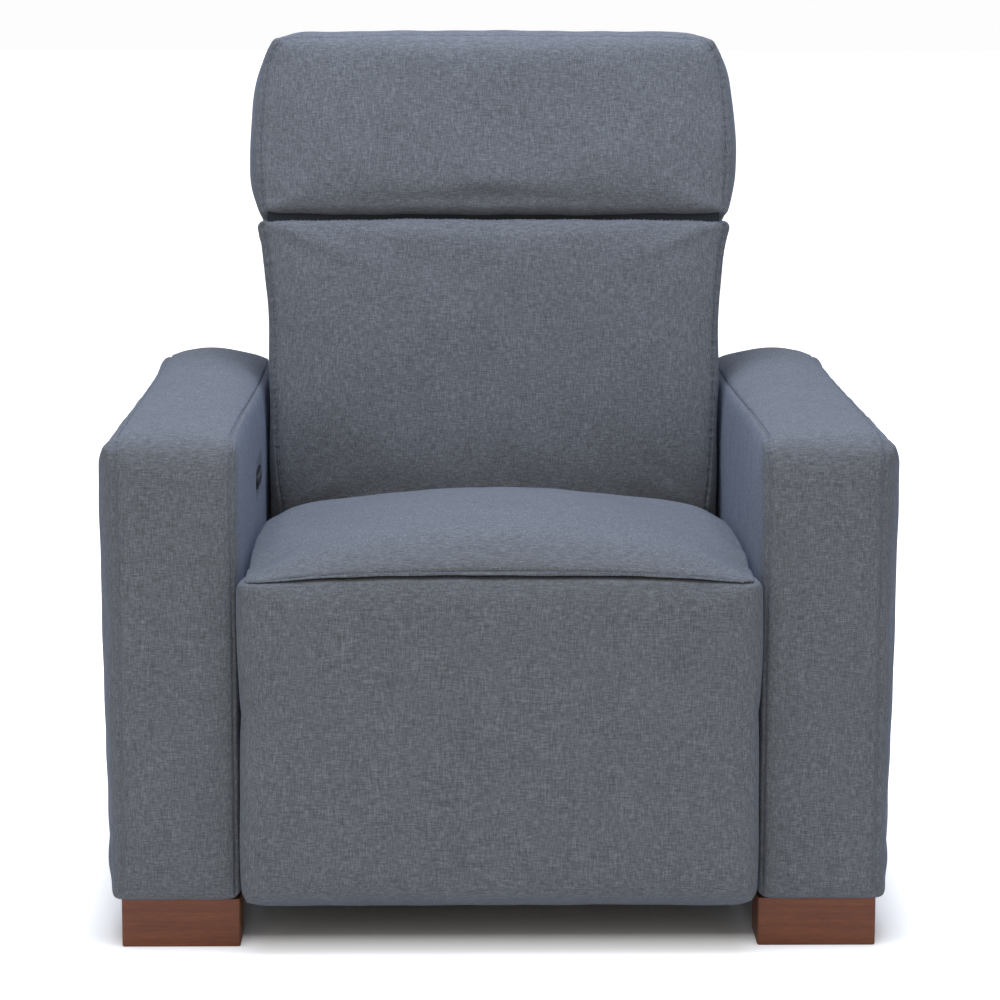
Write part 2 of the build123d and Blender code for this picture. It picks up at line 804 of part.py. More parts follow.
with BuildPart() as guide_links:
    for side in (1, -1):
        corners = (guide_pivot, extension_pivot, cross_pivot)
        web_plate(side, corners, first_inner, first_outer, link_half_width)
        bore(side, guide_pivot, first_inner, first_outer)
        for pivot in (cross_pivot, extension_pivot):
            pin_inward(side, pivot, first_inner, second_outer, second_inner)
finish(guide_links.part, "footrest_guide_links")

with BuildPart() as extension_links:
    for side in (1, -1):
        bar(side, (extension_pivot, bracket_top_pivot), second_inner, second_outer, link_half_width)
        bore(side, extension_pivot, second_inner, second_outer)
        pin_inward(side, bracket_top_pivot, second_inner, third_outer, third_inner)
finish(extension_links.part, "footrest_extension_links")

# Front panel: two pads on their boards


def panel_pad(low, high, thickness, low_radius):
    """Adds one pad of the front panel: drawn in at the fold, rounded in front, narrower behind."""
    back_y = panel_front_y + thickness
    with BuildSketch(Plane.XZ.offset(-back_y)) as profile:
        with BuildLine():
            bulge = panel_half_width
            waist = panel_half_width - panel_pinch
            middle = (low + high) / 2
            Line((-waist, low), (waist, low))
            ThreePointArc((waist, low), (bulge, middle), (waist, high))
            Line((waist, high), (-waist, high))
            ThreePointArc((-waist, high), (-bulge, middle), (-waist, low))
        make_face()
        if low_radius:
            fillet(vertices().group_by(Axis.Y)[0], low_radius)
    extrude(profile.sketch, amount=thickness)
    with BuildSketch(Plane.XY.offset(low - overrun)) as profile:
        with BuildLine():
            neck = panel_back_half_width
            arm_line = arm_front_y - overrun
            Polyline(
                (-neck, back_y),
                (-neck - overrun / 2, arm_front_y),
                (-panel_half_width, arm_line),
                (-panel_half_width, panel_front_y + panel_edge_radius),
            )
            RadiusArc(
                (-panel_half_width, panel_front_y + panel_edge_radius),
                (-panel_half_width + panel_edge_radius, panel_front_y),
                -panel_edge_radius,
            )
            Line(
                (-panel_half_width + panel_edge_radius, panel_front_y),
                (panel_half_width - panel_edge_radius, panel_front_y),
            )
            RadiusArc(
                (panel_half_width - panel_edge_radius, panel_front_y),
                (panel_half_width, panel_front_y + panel_edge_radius),
                -panel_edge_radius,
            )
            Polyline(
                (panel_half_width, panel_front_y + panel_edge_radius),
                (panel_half_width, arm_line),
                (neck + overrun / 2, arm_front_y),
                (neck, back_y),
            )
            Line((neck, back_y), (-neck, back_y))
        make_face()
    extrude(profile.sketch, amount=high - low + 2 * overrun, mode=Mode.INTERSECT)


board_half = panel_back_half_width - board_margin / 2
with BuildPart() as front_pad:
    panel_pad(fold_height + fold_gap / 2, seam_height, front_pad_thickness, 0)
finish(front_pad.part, "front_pad")

with BuildPart() as front_pad_board:
    board_y = (front_pad_back_y, front_pad_back_y + front_pad_board_thickness)
    block((-board_half, board_half), board_y, (fold_height + board_margin / 2, seam_height - board_margin))
finish(front_pad_board.part, "front_pad_board")

with BuildPart() as footrest_pad:
    panel_pad(panel_bottom, fold_height - fold_gap / 2, footrest_pad_thickness, panel_corner_radius)
finish(footrest_pad.part, "footrest_pad")

with BuildPart() as footrest_board:
    board_z = (panel_bottom + board_margin, fold_height - board_margin / 2)
    block((-board_half, board_half), (footrest_back_y, board_back_y), board_z)
finish(footrest_board.part, "footrest_board")

# Actuators: gearbox and motor on a channel, and a nut whose slotted fork drives a lever pin


def actuator_channel(x, height, front_y, length, saddle_y, saddle_height):
    """Adds the channel with its screw, and a saddle under or over a cross tube."""
    half = channel_size / 2
    block((x - half, x + half), (front_y, front_y + length), (height - half, height + half))
    hollow = half - channel_wall
    block(
        (x - hollow, x + hollow),
        (front_y + channel_wall, front_y + length),
        (height - half, height + hollow),
        Mode.SUBTRACT,
    )
    with BuildSketch(Plane.XZ.offset(-front_y)) as profile:
        with Locations((x, height)):
            Circle(screw_radius)
    extrude(profile.sketch, amount=-length)
    if saddle_height:
        block((x - half, x + half), (saddle_y - half, saddle_y + half), (height + half, saddle_height))
        with BuildSketch(Plane.YZ.offset(x - half - overrun)) as profile:
            with Locations((saddle_y, saddle_height)):
                Circle(tube_radius)
        extrude(profile.sketch, amount=channel_size + 2 * overrun, mode=Mode.SUBTRACT)


def actuator_housing(x, height, front_y, tube_y, tube_height, motor_way):
    """Adds the gearbox with its motor across the chair and a saddle lug on the cross tube."""
    half_box = gearbox_height / 2
    rear_y = front_y + gearbox_length
    with BuildSketch(Plane.YZ.offset(x - half_box)) as profile:
        with Locations((front_y + gearbox_length / 2, height)):
            RectangleRounded(gearbox_length, gearbox_height, foot_edge * 2)
    extrude(profile.sketch, amount=gearbox_height)
    with BuildSketch(Plane.YZ.offset(x + motor_way * half_box)) as profile:
        with Locations((front_y + gearbox_length / 2, height)):
            Circle(motor_radius)
    extrude(profile.sketch, amount=motor_way * motor_length)
    motor_end = motor_way * (half_box + motor_length)
    with BuildSketch(Plane.YZ.offset(x + motor_end)) as profile:
        with Locations((front_y + gearbox_length / 2, height)):
            Circle(motor_radius / 2)
    extrude(profile.sketch, amount=motor_way * channel_wall)
    half = channel_size / 2
    lug_low = min(height, tube_height) - half
    lug_high = max(height, tube_height) + half
    block((x - half, x + half), (rear_y - overrun, tube_y), (lug_low, lug_high))
    with BuildSketch(Plane.YZ.offset(x - half - overrun)) as profile:
        with Locations((tube_y, tube_height)):
            Circle(tube_radius)
    extrude(profile.sketch, amount=channel_size + 2 * overrun, mode=Mode.SUBTRACT)


def actuator_nut(side, height, pin, pin_heights, play):
    """Adds the sliding nut with the fork whose upright slot drives the lever pin."""
    x = side * actuator_offset
    nut_front = pin[0] + fork_reach - nut_length / 2
    half = channel_size / 2 + slide_clearance
    block(
        (x - nut_half_width, x + nut_half_width),
        (nut_front, nut_front + nut_length),
        (height - nut_height / 2, height + nut_height / 2),
    )
    block(
        (x - half, x + half),
        (nut_front - overrun, nut_front + nut_length + overrun),
        (height - half, height + half),
        Mode.SUBTRACT,
    )
    nut_inner = actuator_offset - nut_half_width
    slot_half = yoke_pin_radius + play
    slot_height = abs(pin_heights[1] - pin_heights[0]) + 2 * slot_half
    with BuildSketch(Plane.YZ.offset(side * nut_inner)) as profile:
        arm_y = (pin[0] - 2 * slot_half + nut_front + overrun) / 2
        arm_long = nut_front + overrun - pin[0] + 2 * slot_half
        with Locations((arm_y, sum(pin_heights) / 2)):
            Rectangle(arm_long, slot_height + 2 * slot_half)
        with Locations((pin[0], sum(pin_heights) / 2)):
            SlotOverall(slot_height, 2 * slot_half, rotation=90, mode=Mode.SUBTRACT)
    extrude(profile.sketch, amount=side * fork_thickness)


footrest_pin_low = drive_pivot[1] - footrest_lever
recline_pin_low = front_swing[1] - recline_lever
footrest_drive_height = (footrest_pin[1] + footrest_pin_low) / 2
recline_drive_height = (recline_pin[1] + recline_pin_low) / 2
footrest_stroke = 2 * footrest_lever * sin(radians(footrest_swing / 2))
recline_stroke = 2 * recline_lever * sin(radians(swing_rest_angle))
footrest_gearbox_y = seat_tube_y - tube_radius - gearbox_length - overrun
recline_gearbox_y = base_rear_tube_y - tube_radius - gearbox_length - overrun

with BuildPart() as footrest_channel:
    actuator_channel(
        actuator_offset,
        footrest_drive_height,
        footrest_gearbox_y - footrest_channel_length,
        footrest_channel_length,
        0,
        0,
    )
finish(footrest_channel.part, "footrest_actuator_channel")

with BuildPart() as recline_channel:
    actuator_channel(
        -actuator_offset,
        recline_drive_height,
        recline_gearbox_y - recline_channel_length,
        recline_channel_length,
        base_front_tube_y,
        base_tube_height,
    )
finish(recline_channel.part, "recline_actuator_channel")

with BuildPart() as footrest_motor:
    actuator_housing(
        actuator_offset, footrest_drive_height, footrest_gearbox_y, seat_tube_y, seat_tube_height, -1
    )
finish(footrest_motor.part, "footrest_motor")

with BuildPart() as recline_motor:
    actuator_housing(
        -actuator_offset, recline_drive_height, recline_gearbox_y, base_rear_tube_y, base_tube_height, 1
    )
finish(recline_motor.part, "recline_motor")

with BuildPart() as footrest_nut:
    heights = (footrest_pin_low, footrest_pin[1])
    actuator_nut(1, footrest_drive_height, footrest_pin, heights, footrest_slot_play)
finish(footrest_nut.part, "footrest_nut")

with BuildPart() as recline_nut:
    heights = (recline_pin_low, recline_pin[1])
    actuator_nut(-1, recline_drive_height, recline_pin, heights, recline_slot_play)
finish(recline_nut.part, "recline_nut")

# Back: brackets, frame, straps, cushion and the padded outer shell


def back_outline(low, high):
    """Draws the back cushion from the front: straight between the arms, wider above them."""
    low_half = back_low_half_width
    arm_half = back_arm_half_width
    high_half = back_high_half_width
    with BuildLine() as outline:
        Line((-low_half, low), (low_half, low))
        Line((low_half, low), (arm_half, back_flare_start))
        Spline((arm_half, back_flare_start), (high_half, high), tangents=((0, 1), (0, 1)))
        Line((high_half, high), (-high_half, high))
        Spline((-high_half, high), (-arm_half, back_flare_start), tangents=((0, -1), (0, -1)))
        Line((-arm_half, back_flare_start), (-low_half, low))
    make_face(outline.edges())


cushion_rear_face = back_face - back_cushion_thickness
frame_front = cushion_rear_face - strap_thickness
frame_rear = frame_front - back_frame_depth
frame_half = second_inner
frame_bottom = back_shell_bottom + back_shell_wall
hinge_line = (back_top + headrest_bottom) / 2
knuckle_depth = back_face - headrest_axis_depth
leaf_rear = knuckle_depth - hinge_leaf_thickness / 2
notch_front = knuckle_depth + hinge_knuckle_radius + hinge_play
tab_width = hinge_leaf_width / 3
frame_top = back_top - back_shell_wall

for side, word in ((1, "left"), (-1, "right")):
    with BuildPart() as back_bracket:
        frame_middle = (frame_front + frame_rear) / 2
        corners = (
            back_lug,
            hinge,
            on_back(back_knee_up, -back_knee_depth),
            on_back(frame_bottom, frame_middle),
            on_back(back_bracket_top, frame_middle),
        )
        bar(side, corners, second_inner, second_outer, swing_half_width)
        bore(side, hinge, second_inner, second_outer)
        pin_outward(side, back_lug, second_outer, first_inner, first_outer)
    finish(back_bracket.part, f"back_bracket_{word}")

with BuildPart() as back_frame:
    with BuildSketch(back_plane.offset(frame_rear)):
        with Locations((0, (frame_bottom + frame_top) / 2)):
            Rectangle(2 * frame_half, frame_top - frame_bottom)
            Rectangle(
                2 * (frame_half - back_frame_board),
                frame_top - frame_bottom - 2 * back_frame_board,
                mode=Mode.SUBTRACT,
            )
    extrude(amount=back_frame_depth)
finish(back_frame.part, "back_frame")

with BuildPart() as back_straps:
    strap_pitch = (frame_top - frame_bottom - 2 * back_frame_board) / strap_count
    for index in range(strap_count):
        strap_y = frame_bottom + back_frame_board + (index + 1 / 2) * strap_pitch
        with BuildSketch(back_plane.offset(frame_front)):
            with Locations((0, strap_y)):
                Rectangle(2 * frame_half, strap_width)
        extrude(amount=strap_thickness)
finish(back_straps.part, "back_straps")

def hinge_leaf(way, tabs):
    """Adds one leaf of both headrest hinges: knuckles, plate, and a foot on its carrier's face."""
    knuckle_reach = hinge_knuckle_radius + hinge_play
    for side in (1, -1):
        x = side * hinge_offset
        plate_ends = (hinge_line + way * knuckle_reach, hinge_line + way * hinge_leaf_length)
        with BuildSketch(back_plane.offset(leaf_rear)) as profile:
            with Locations((x, sum(plate_ends) / 2)):
                Rectangle(hinge_leaf_width, abs(plate_ends[1] - plate_ends[0]))
            for place in tabs:
                with Locations((x + place * tab_width, hinge_line + way * knuckle_reach / 2)):
                    Rectangle(tab_width - hinge_play, knuckle_reach)
        extrude(profile.sketch, amount=hinge_leaf_thickness)
        with BuildSketch(back_plane.offset(frame_front)) as profile:
            with Locations((x, plate_ends[1] - way * hinge_leaf_thickness / 2)):
                Rectangle(hinge_leaf_width, hinge_leaf_thickness)
        extrude(profile.sketch, amount=leaf_rear - frame_front)
        with BuildSketch(back_plane.offset(frame_front)) as profile:
            with Locations((x, plate_ends[1] + way * hinge_foot_length / 2)):
                Rectangle(hinge_leaf_width, hinge_foot_length)
        extrude(profile.sketch, amount=hinge_leaf_thickness)
        for place in tabs:
            hinge_disc(x + place * tab_width, tab_width - hinge_play, hinge_knuckle_radius)


def hinge_disc(x, width, radius, mode=Mode.ADD):
    """Adds or cuts a round disc on the headrest's hinge line."""
    place = back_plane.from_local_coords((x - width / 2, hinge_line, knuckle_depth))
    with BuildSketch(Plane(origin=place, x_dir=back_plane.z_dir, z_dir=(1, 0, 0))) as profile:
        Circle(radius)
    extrude(profile.sketch, amount=width, mode=mode)


def cut_hinge_notches(near, way, depth):
    """Cuts the room that the hinge leaves need, from one end of a cushion."""
    long = hinge_leaf_length + hinge_foot_length + 2 * hinge_play
    for side in (1, -1):
        with BuildSketch(back_plane.offset(near)) as profile:
            with Locations((side * hinge_offset, hinge_line + way * long / 2)):
                Rectangle(hinge_leaf_width + 2 * hinge_play, long)
        extrude(profile.sketch, amount=depth - near, mode=Mode.SUBTRACT)


def crowned_front(half, low, high):
    """Cuts a cushion on the back plane to a crowned front face."""
    side_view = Plane(origin=back_plane.origin, x_dir=back_plane.x_dir, z_dir=back_plane.y_dir)
    with BuildSketch(side_view.offset(low - overrun)) as profile:
        with BuildLine():
            # In this plane the local y points to the back of the chair
            Polyline(
                (-half, -back_face),
                (-half, -back_rear + overrun),
                (half, -back_rear + overrun),
                (half, -back_face),
            )
            ThreePointArc((half, -back_face), (0, -back_face - back_crown), (-half, -back_face))
        make_face()
    extrude(profile.sketch, amount=high - low + 2 * overrun, mode=Mode.INTERSECT)


with BuildPart() as back_cushion:
    with BuildSketch(back_plane.offset(cushion_rear_face)):
        back_outline(back_bottom, back_top)
    extrude(amount=back_cushion_thickness + back_crown)
    crowned_front(back_high_half_width + overrun, back_bottom, back_top)
    front_rim = back_cushion.faces().sort_by(Axis(back_plane.origin, back_plane.z_dir))[-1].edges()
    fillet(front_rim, back_edge_radius)
    cut_hinge_notches(cushion_rear_face - overrun, -1, notch_front)
finish(back_cushion.part, "back_cushion")

shell_cavity_half = second_outer + slide_clearance
with BuildPart() as back_shell:
    with BuildSketch(back_plane.offset(back_rear)):
        with Locations((0, (back_shell_bottom + back_top) / 2)):
            Rectangle(2 * back_arm_half_width, back_top - back_shell_bottom)
    extrude(amount=back_thickness - back_cushion_thickness)
    rear_rim = back_shell.faces().sort_by(Axis(back_plane.origin, back_plane.z_dir))[0].edges()
    fillet(rear_rim, back_rear_radius)
    with BuildSketch(back_plane.offset(back_rear + back_shell_wall)):
        with Locations((0, (frame_bottom + frame_top) / 2)):
            Rectangle(2 * shell_cavity_half, frame_top - frame_bottom)
        with Locations((0, back_shell_bottom)):
            Rectangle(2 * shell_cavity_half, 2 * back_shell_wall + 2 * overrun)
    extrude(amount=back_thickness, mode=Mode.SUBTRACT)
finish(back_shell.part, "back_shell")

# Headrest: a board inside a thick cushion, on two friction hinges at the crease


with BuildPart() as lower_hinges:
    hinge_leaf(-1, (0,))
    for side in (1, -1):
        hinge_disc(side * hinge_offset, hinge_leaf_width, hinge_pin_radius + pin_clearance, Mode.SUBTRACT)
finish(lower_hinges.part, "headrest_hinges_lower")

with BuildPart() as upper_hinges:
    hinge_leaf(1, (-1, 1))
    for side in (1, -1):
        hinge_disc(side * hinge_offset, hinge_leaf_width - hinge_play, hinge_pin_radius)
finish(upper_hinges.part, "headrest_hinges_upper")

board_low = headrest_bottom + headrest_board_low
board_high = headrest_top - headrest_board_margin
with BuildPart() as headrest_board:
    with BuildSketch(back_plane.offset(frame_front - headrest_board_thickness)):
        with Locations((0, (board_low + board_high) / 2)):
            Rectangle(2 * board_half, board_high - board_low)
    extrude(amount=headrest_board_thickness)
finish(headrest_board.part, "headrest_board")

with BuildPart() as headrest_cushion:
    with BuildSketch(back_plane.offset(back_rear)):
        with BuildLine():
            low_half = back_high_half_width
            bulge_up = (headrest_bottom + headrest_top) / 2
            Line((-low_half, headrest_bottom), (low_half, headrest_bottom))
            ThreePointArc(
                (low_half, headrest_bottom), (headrest_half_width, bulge_up), (headrest_top_half_width, headrest_top)
            )
            Line((headrest_top_half_width, headrest_top), (-headrest_top_half_width, headrest_top))
            ThreePointArc(
                (-headrest_top_half_width, headrest_top), (-headrest_half_width, bulge_up), (-low_half, headrest_bottom)
            )
        make_face()
        fillet(vertices().group_by(Axis.Y)[-1], headrest_corner_radius)
    extrude(amount=back_thickness + back_crown)
    crowned_front(headrest_half_width + overrun, headrest_bottom, headrest_top)
    depth_axis = Axis(back_plane.origin, back_plane.z_dir)
    fillet(headrest_cushion.faces().sort_by(depth_axis)[-1].edges(), back_edge_radius)
    fillet(headrest_cushion.faces().sort_by(depth_axis)[0].edges(), back_rear_radius)
    with BuildSketch(back_plane.offset(frame_front - headrest_board_thickness)):
        with Locations((0, (board_low + board_high) / 2)):
            Rectangle(2 * board_half, board_high - board_low)
    extrude(amount=headrest_board_thickness, mode=Mode.SUBTRACT)
    cut_hinge_notches(frame_front, 1, notch_front)
finish(headrest_cushion.part, "headrest_cushion")

# Control plate with its four push buttons
with BuildPart() as control_plate:
    with BuildSketch(Plane.YZ.offset(-inner_half + plate_proud)):
        with Locations((plate_y, plate_height)):
            RectangleRounded(plate_length, plate_width, plate_radius)
    extrude(amount=-plate_depth)
    for index in range(button_count):
        button_y = plate_y + (index - (button_count - 1) / 2) * button_pitch
        face_x = inner_half - plate_proud
        bore_depth = button_length - button_proud + button_travel + hinge_play
        disc(-1, (button_y, plate_height), face_x, face_x + bore_depth, button_radius, Mode.SUBTRACT)
finish(control_plate.part, "control_plate")

for index, name in enumerate(("footrest_out", "footrest_in", "back_recline", "back_upright")):
    with BuildPart() as button:
        button_y = plate_y + (index - (button_count - 1) / 2) * button_pitch
        near_x = inner_half - plate_proud - button_proud
        disc(-1, (button_y, plate_height), near_x, near_x + button_length, button_radius - pin_clearance)
        fillet(button.faces().sort_by(Axis.X)[-1].edges(), button_proud / 2)
    finish(button.part, f"button_{name}")
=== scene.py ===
# %% [markdown]
# A padded power recliner in a heathered blue-grey weave, seen almost from the front. Its frame,
# linkages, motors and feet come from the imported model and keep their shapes. This lesson covers
# the hidden foam with stitched upholstery, gives every part its finish, and sets the camera and
# the light. Lengths are written in millimetres and turned to metres where they are used.

# %% Load the model as a fixed frame
import json
import math

import bpy
import numpy as np
from mathutils import Matrix, Vector
from mathutils.kdtree import KDTree

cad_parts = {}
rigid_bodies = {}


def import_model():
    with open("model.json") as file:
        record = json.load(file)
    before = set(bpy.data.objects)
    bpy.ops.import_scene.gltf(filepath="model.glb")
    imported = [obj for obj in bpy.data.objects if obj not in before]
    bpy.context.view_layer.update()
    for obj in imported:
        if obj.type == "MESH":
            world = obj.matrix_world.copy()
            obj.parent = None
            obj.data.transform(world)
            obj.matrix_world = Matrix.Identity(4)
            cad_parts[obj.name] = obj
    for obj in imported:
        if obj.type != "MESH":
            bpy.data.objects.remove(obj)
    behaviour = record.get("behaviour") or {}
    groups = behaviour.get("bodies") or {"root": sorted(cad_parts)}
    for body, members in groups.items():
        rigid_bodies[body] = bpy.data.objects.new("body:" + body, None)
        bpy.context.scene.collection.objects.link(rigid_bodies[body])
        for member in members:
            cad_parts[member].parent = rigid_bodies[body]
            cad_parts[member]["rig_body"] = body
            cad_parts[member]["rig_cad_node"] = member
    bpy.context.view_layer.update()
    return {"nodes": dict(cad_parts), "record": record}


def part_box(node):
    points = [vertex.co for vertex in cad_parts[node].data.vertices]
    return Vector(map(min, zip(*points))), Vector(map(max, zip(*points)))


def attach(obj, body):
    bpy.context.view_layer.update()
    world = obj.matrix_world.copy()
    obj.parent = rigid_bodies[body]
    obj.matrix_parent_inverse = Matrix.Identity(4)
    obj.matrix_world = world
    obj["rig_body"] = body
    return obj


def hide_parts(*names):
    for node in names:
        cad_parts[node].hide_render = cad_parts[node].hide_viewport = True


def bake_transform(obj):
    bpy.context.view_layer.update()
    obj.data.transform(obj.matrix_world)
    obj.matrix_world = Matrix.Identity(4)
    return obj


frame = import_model()
scene = bpy.context.scene
nodes = frame["nodes"]
MM = 0.001

# %% [markdown]
# The camera stands four metres away, a little above the top of the back, and looks slightly
# down, as a catalogue photographer would. The long lens keeps the arms almost parallel.

# %% Camera at the photograph's angle
sensor_width = 36
focal_share = 3.305
camera_place = Vector((-0.0537, -4.0292, 1.132))
camera_direction = Vector((0.01459, 0.98578, -0.16741))
camera_roll = 0.0017

camera_data = bpy.data.cameras.new("catalogue_camera")
camera_data.sensor_width = sensor_width
camera_data.lens = sensor_width * focal_share
camera = bpy.data.objects.new("catalogue_camera", camera_data)
scene.collection.objects.link(camera)
camera.location = camera_place
turn = camera_direction.to_track_quat("-Z", "Y").to_matrix()
camera.rotation_euler = (turn @ Matrix.Rotation(camera_roll, 3, "Z")).to_euler()
scene.camera = camera
print("camera lens:", round(camera_data.lens, 1), "mm")

# %% [markdown]
# The chair stands on a pale sweep in a white studio. One large panel overhead lights the seat
# and the arm tops, a broad one in front shows the weave, and a dim white world fills the rest, so
# that the gaps between the cushions stay dark. The camera sees the world itself as pure white.
# The floor glows for the camera away from the chair, so only the shadow near the feet shows.
# The view transform is the plain one, so that a colour chosen as hex comes back as that colour.


# %% Colours are chosen as sRGB hex and turned linear by one function
def linear(hex_colour):
    """Linear RGBA of a hex colour, by the curve of the sRGB standard."""
    parts = [int(hex_colour[i:i + 2], 16) / 255 for i in (1, 3, 5)]
    return [c / 12.92 if c <= 0.04045 else ((c + 0.055) / 1.055) ** 2.4 for c in parts] + [1.0]


# %% Small functions add shader nodes with their settings and links
def connect(tree, node, inputs):
    """Fills a node's inputs. A socket given as a value is linked, anything else is set."""
    for key, value in inputs.items():
        if isinstance(value, bpy.types.NodeSocket):
            tree.links.new(value, node.inputs[key])
        else:
            node.inputs[key].default_value = value


def add(tree, kind, inputs=None, **settings):
    """Adds a node with its settings and its inputs."""
    node = tree.nodes.new(kind)
    for name, value in settings.items():
        setattr(node, name, value)
    connect(tree, node, inputs or {})
    return node


def ranged(tree, value, low, high, from_low=0.0, from_high=1.0):
    """A value moved from one range to the range from low to high."""
    source = {"Value": value, "From Min": from_low, "From Max": from_high}
    return add(tree, "ShaderNodeMapRange", {**source, "To Min": low, "To Max": high}).outputs[0]


def maths(tree, operation, *values):
    """One step of arithmetic on numbers or sockets."""
    return add(tree, "ShaderNodeMath", dict(enumerate(values)), operation=operation).outputs[0]


def vectors(tree, operation, inputs, output=0):
    """One step of vector arithmetic."""
    return add(tree, "ShaderNodeVectorMath", inputs, operation=operation).outputs[output]


def new_material(name):
    """A node material. Returns it with its tree, its shader and its texture coordinates."""
    material = bpy.data.materials.new(name)
    material.use_nodes = True
    tree = material.node_tree
    return material, tree, tree.nodes["Principled BSDF"], add(tree, "ShaderNodeTexCoord").outputs


# %% The white world
scene.view_settings.view_transform = "Standard"
fill_strength, seen_strength = 0.36, 1.0
world = bpy.data.worlds.new("white_studio")
world.use_nodes = True
world_tree = world.node_tree
ray = add(world_tree, "ShaderNodeLightPath").outputs["Is Camera Ray"]
connect(world_tree, world_tree.nodes["Background"], {
    "Color": linear("#fdfdfd"),
    "Strength": ranged(world_tree, ray, fill_strength, seen_strength),
})
scene.world = world
print("world:", fill_strength, "of full white")

# %% Two panels of light
chair_middle = (0, 0, 0.5)
overhead_place, overhead_size, overhead_power = (0, -0.2, 3.0), 2.2, 94
front_place, front_size, front_power = (-0.8, -4.2, 2.4), 3.0, 44


def soft_light(name, place, size, power, colour):
    """A large square panel of light that looks at the chair."""
    data = bpy.data.lights.new(name, "AREA")
    data.size = size
    data.energy = power
    data.color = linear(colour)[:3]
    light = bpy.data.objects.new(name, data)
    light.location = place
    aim = Vector(chair_middle) - Vector(place)
    light.rotation_euler = aim.to_track_quat("-Z", "Y").to_euler()
    scene.collection.objects.link(light)


soft_light("overhead_panel", overhead_place, overhead_size, overhead_power, "#d8e5ff")
soft_light("front_panel_light", front_place, front_size, front_power, "#fffbf3")
print("lights:", overhead_power, "W overhead and", front_power, "W in front")

# %% The floor, which glows for the camera outside the chair's footprint
floor_size = 60
footprint = (0.41, 0.35, 1.0)
shadow_fade = 0.14

bpy.ops.object.select_all(action="DESELECT")
bpy.ops.mesh.primitive_plane_add(size=floor_size)
floor = bpy.context.object
floor.name = "studio_floor"
floor_paint, floor_tree, floor_shader, floor_where = new_material("matt_white_sweep")
each_way = vectors(floor_tree, "ABSOLUTE", {0: floor_where["Object"]})
beyond = vectors(floor_tree, "SUBTRACT", {0: each_way, 1: footprint})
outside = vectors(floor_tree, "MAXIMUM", {0: beyond, 1: (0, 0, 0)})
away = vectors(floor_tree, "LENGTH", {0: outside}, output="Value")
glow = ranged(floor_tree, away, 0.0, 1.0, from_high=shadow_fade)
seen = add(floor_tree, "ShaderNodeLightPath").outputs["Is Camera Ray"]
connect(floor_tree, floor_shader, {
    "Base Color": linear("#f2f2f2"),
    "Roughness": 0.95,
    "Specular IOR Level": 0.1,
    "Emission Color": linear("#ffffff"),
    "Emission Strength": maths(floor_tree, "MULTIPLY", seen, glow),
})
floor.data.materials.append(floor_paint)
print("floor:", floor_size, "m wide")

# %% [markdown]
# Every padded piece is made the way the real cover fills: a block of foam with its edges
# rounded, covered with an even net of small faces, then blown up a few millimetres by a cloth
# simulation. Where the cover is sewn the net is held, so each panel swells between its seams.
# Sculpting by hand would give one good view; a simulation gives all of them.


# %% Reading and writing a mesh's points
def points_of(piece):
    """The piece's vertex places as rows of an array, in metres."""
    flat = np.empty(3 * len(piece.data.vertices))
    piece.data.vertices.foreach_get("co", flat)
    return flat.reshape(-1, 3)


def put_points(piece, points):
    """Writes vertex places back to the piece."""
    piece.data.vertices.foreach_set("co", points.ravel())
    piece.data.update()


def normals_of(piece):
    """The piece's outward vertex normals."""
    flat = np.empty(3 * len(piece.data.vertices))
    piece.data.vertex_normals.foreach_get("vector", flat)
    return flat.reshape(-1, 3)


def take(piece):
    """Makes the piece the only one selected, and the active one."""
    bpy.ops.object.select_all(action="DESELECT")
    piece.select_set(True)
    bpy.context.view_layer.objects.active = piece


def apply_modifier(piece, kind, **settings):
    """Adds a modifier, sets it and applies it."""
    modifier = piece.modifiers.new(kind.lower(), kind)
    for name, value in settings.items():
        setattr(modifier, name, value)
    take(piece)
    bpy.ops.object.modifier_apply(modifier=modifier.name)


# %% A foam block: a cube at its place, with an even net of faces
net_size = 6 * MM


def foam_block(name, low, high, net=net_size):
    """A block between two corners in millimetres, covered with square faces of one size."""
    low, high = Vector(low) * MM, Vector(high) * MM
    bpy.ops.object.select_all(action="DESELECT")
    bpy.ops.mesh.primitive_cube_add(size=1, location=(low + high) / 2, scale=high - low)
    piece = bpy.context.object
    piece.name = name
    piece.data.name = name
    bpy.ops.object.transform_apply(location=True, rotation=True, scale=True)
    apply_modifier(piece, "REMESH", mode="VOXEL", voxel_size=net)
    return piece


def step(x, low, high):
    """Smooth change from 0 below low to 1 above high."""
    t = np.clip((x - low) / (high - low), 0, 1)
    return t * t * (3 - 2 * t)


# %% Rounding the straight edges of a block
def round_edge(points, axes, corner, inward, radius, second_radius=None):
    """Rounds one straight edge, which runs along the axis left out of axes, through corner.

    With a second radius the roll is an ellipse: radius along the first axis, second along the other.
    """
    a, b = axes
    second_radius = second_radius or radius
    centre = (corner[0] + inward[0] * radius, corner[1] + inward[1] * second_radius)
    over_a = (centre[0] - points[:, a]) * inward[0]
    over_b = (centre[1] - points[:, b]) * inward[1]
    reach = np.hypot(over_a / radius, over_b / second_radius)
    outside = (over_a > 0) & (over_b > 0) & (reach > 1)
    points[outside, a] = centre[0] - inward[0] * over_a[outside] / reach[outside]
    points[outside, b] = centre[1] - inward[1] * over_b[outside] / reach[outside]


def round_edges(points, block, edges):
    """Rounds edges of a block given by its low and high corner, all in millimetres.

    Each edge is its two axes, the way inwards along each, and one radius or two. A way of 1
    means the block's low face on that axis, and -1 its high face.
    """
    low, high = block
    for axes, inward, *radii in edges:
        corner = [(low if way > 0 else high)[axis] * MM for axis, way in zip(axes, inward)]
        round_edge(points, axes, corner, inward, *(radius * MM for radius in radii))


# %% Seams are polylines. Distances to them decide where the cover is held and drawn in
path_spacing = 3 * MM


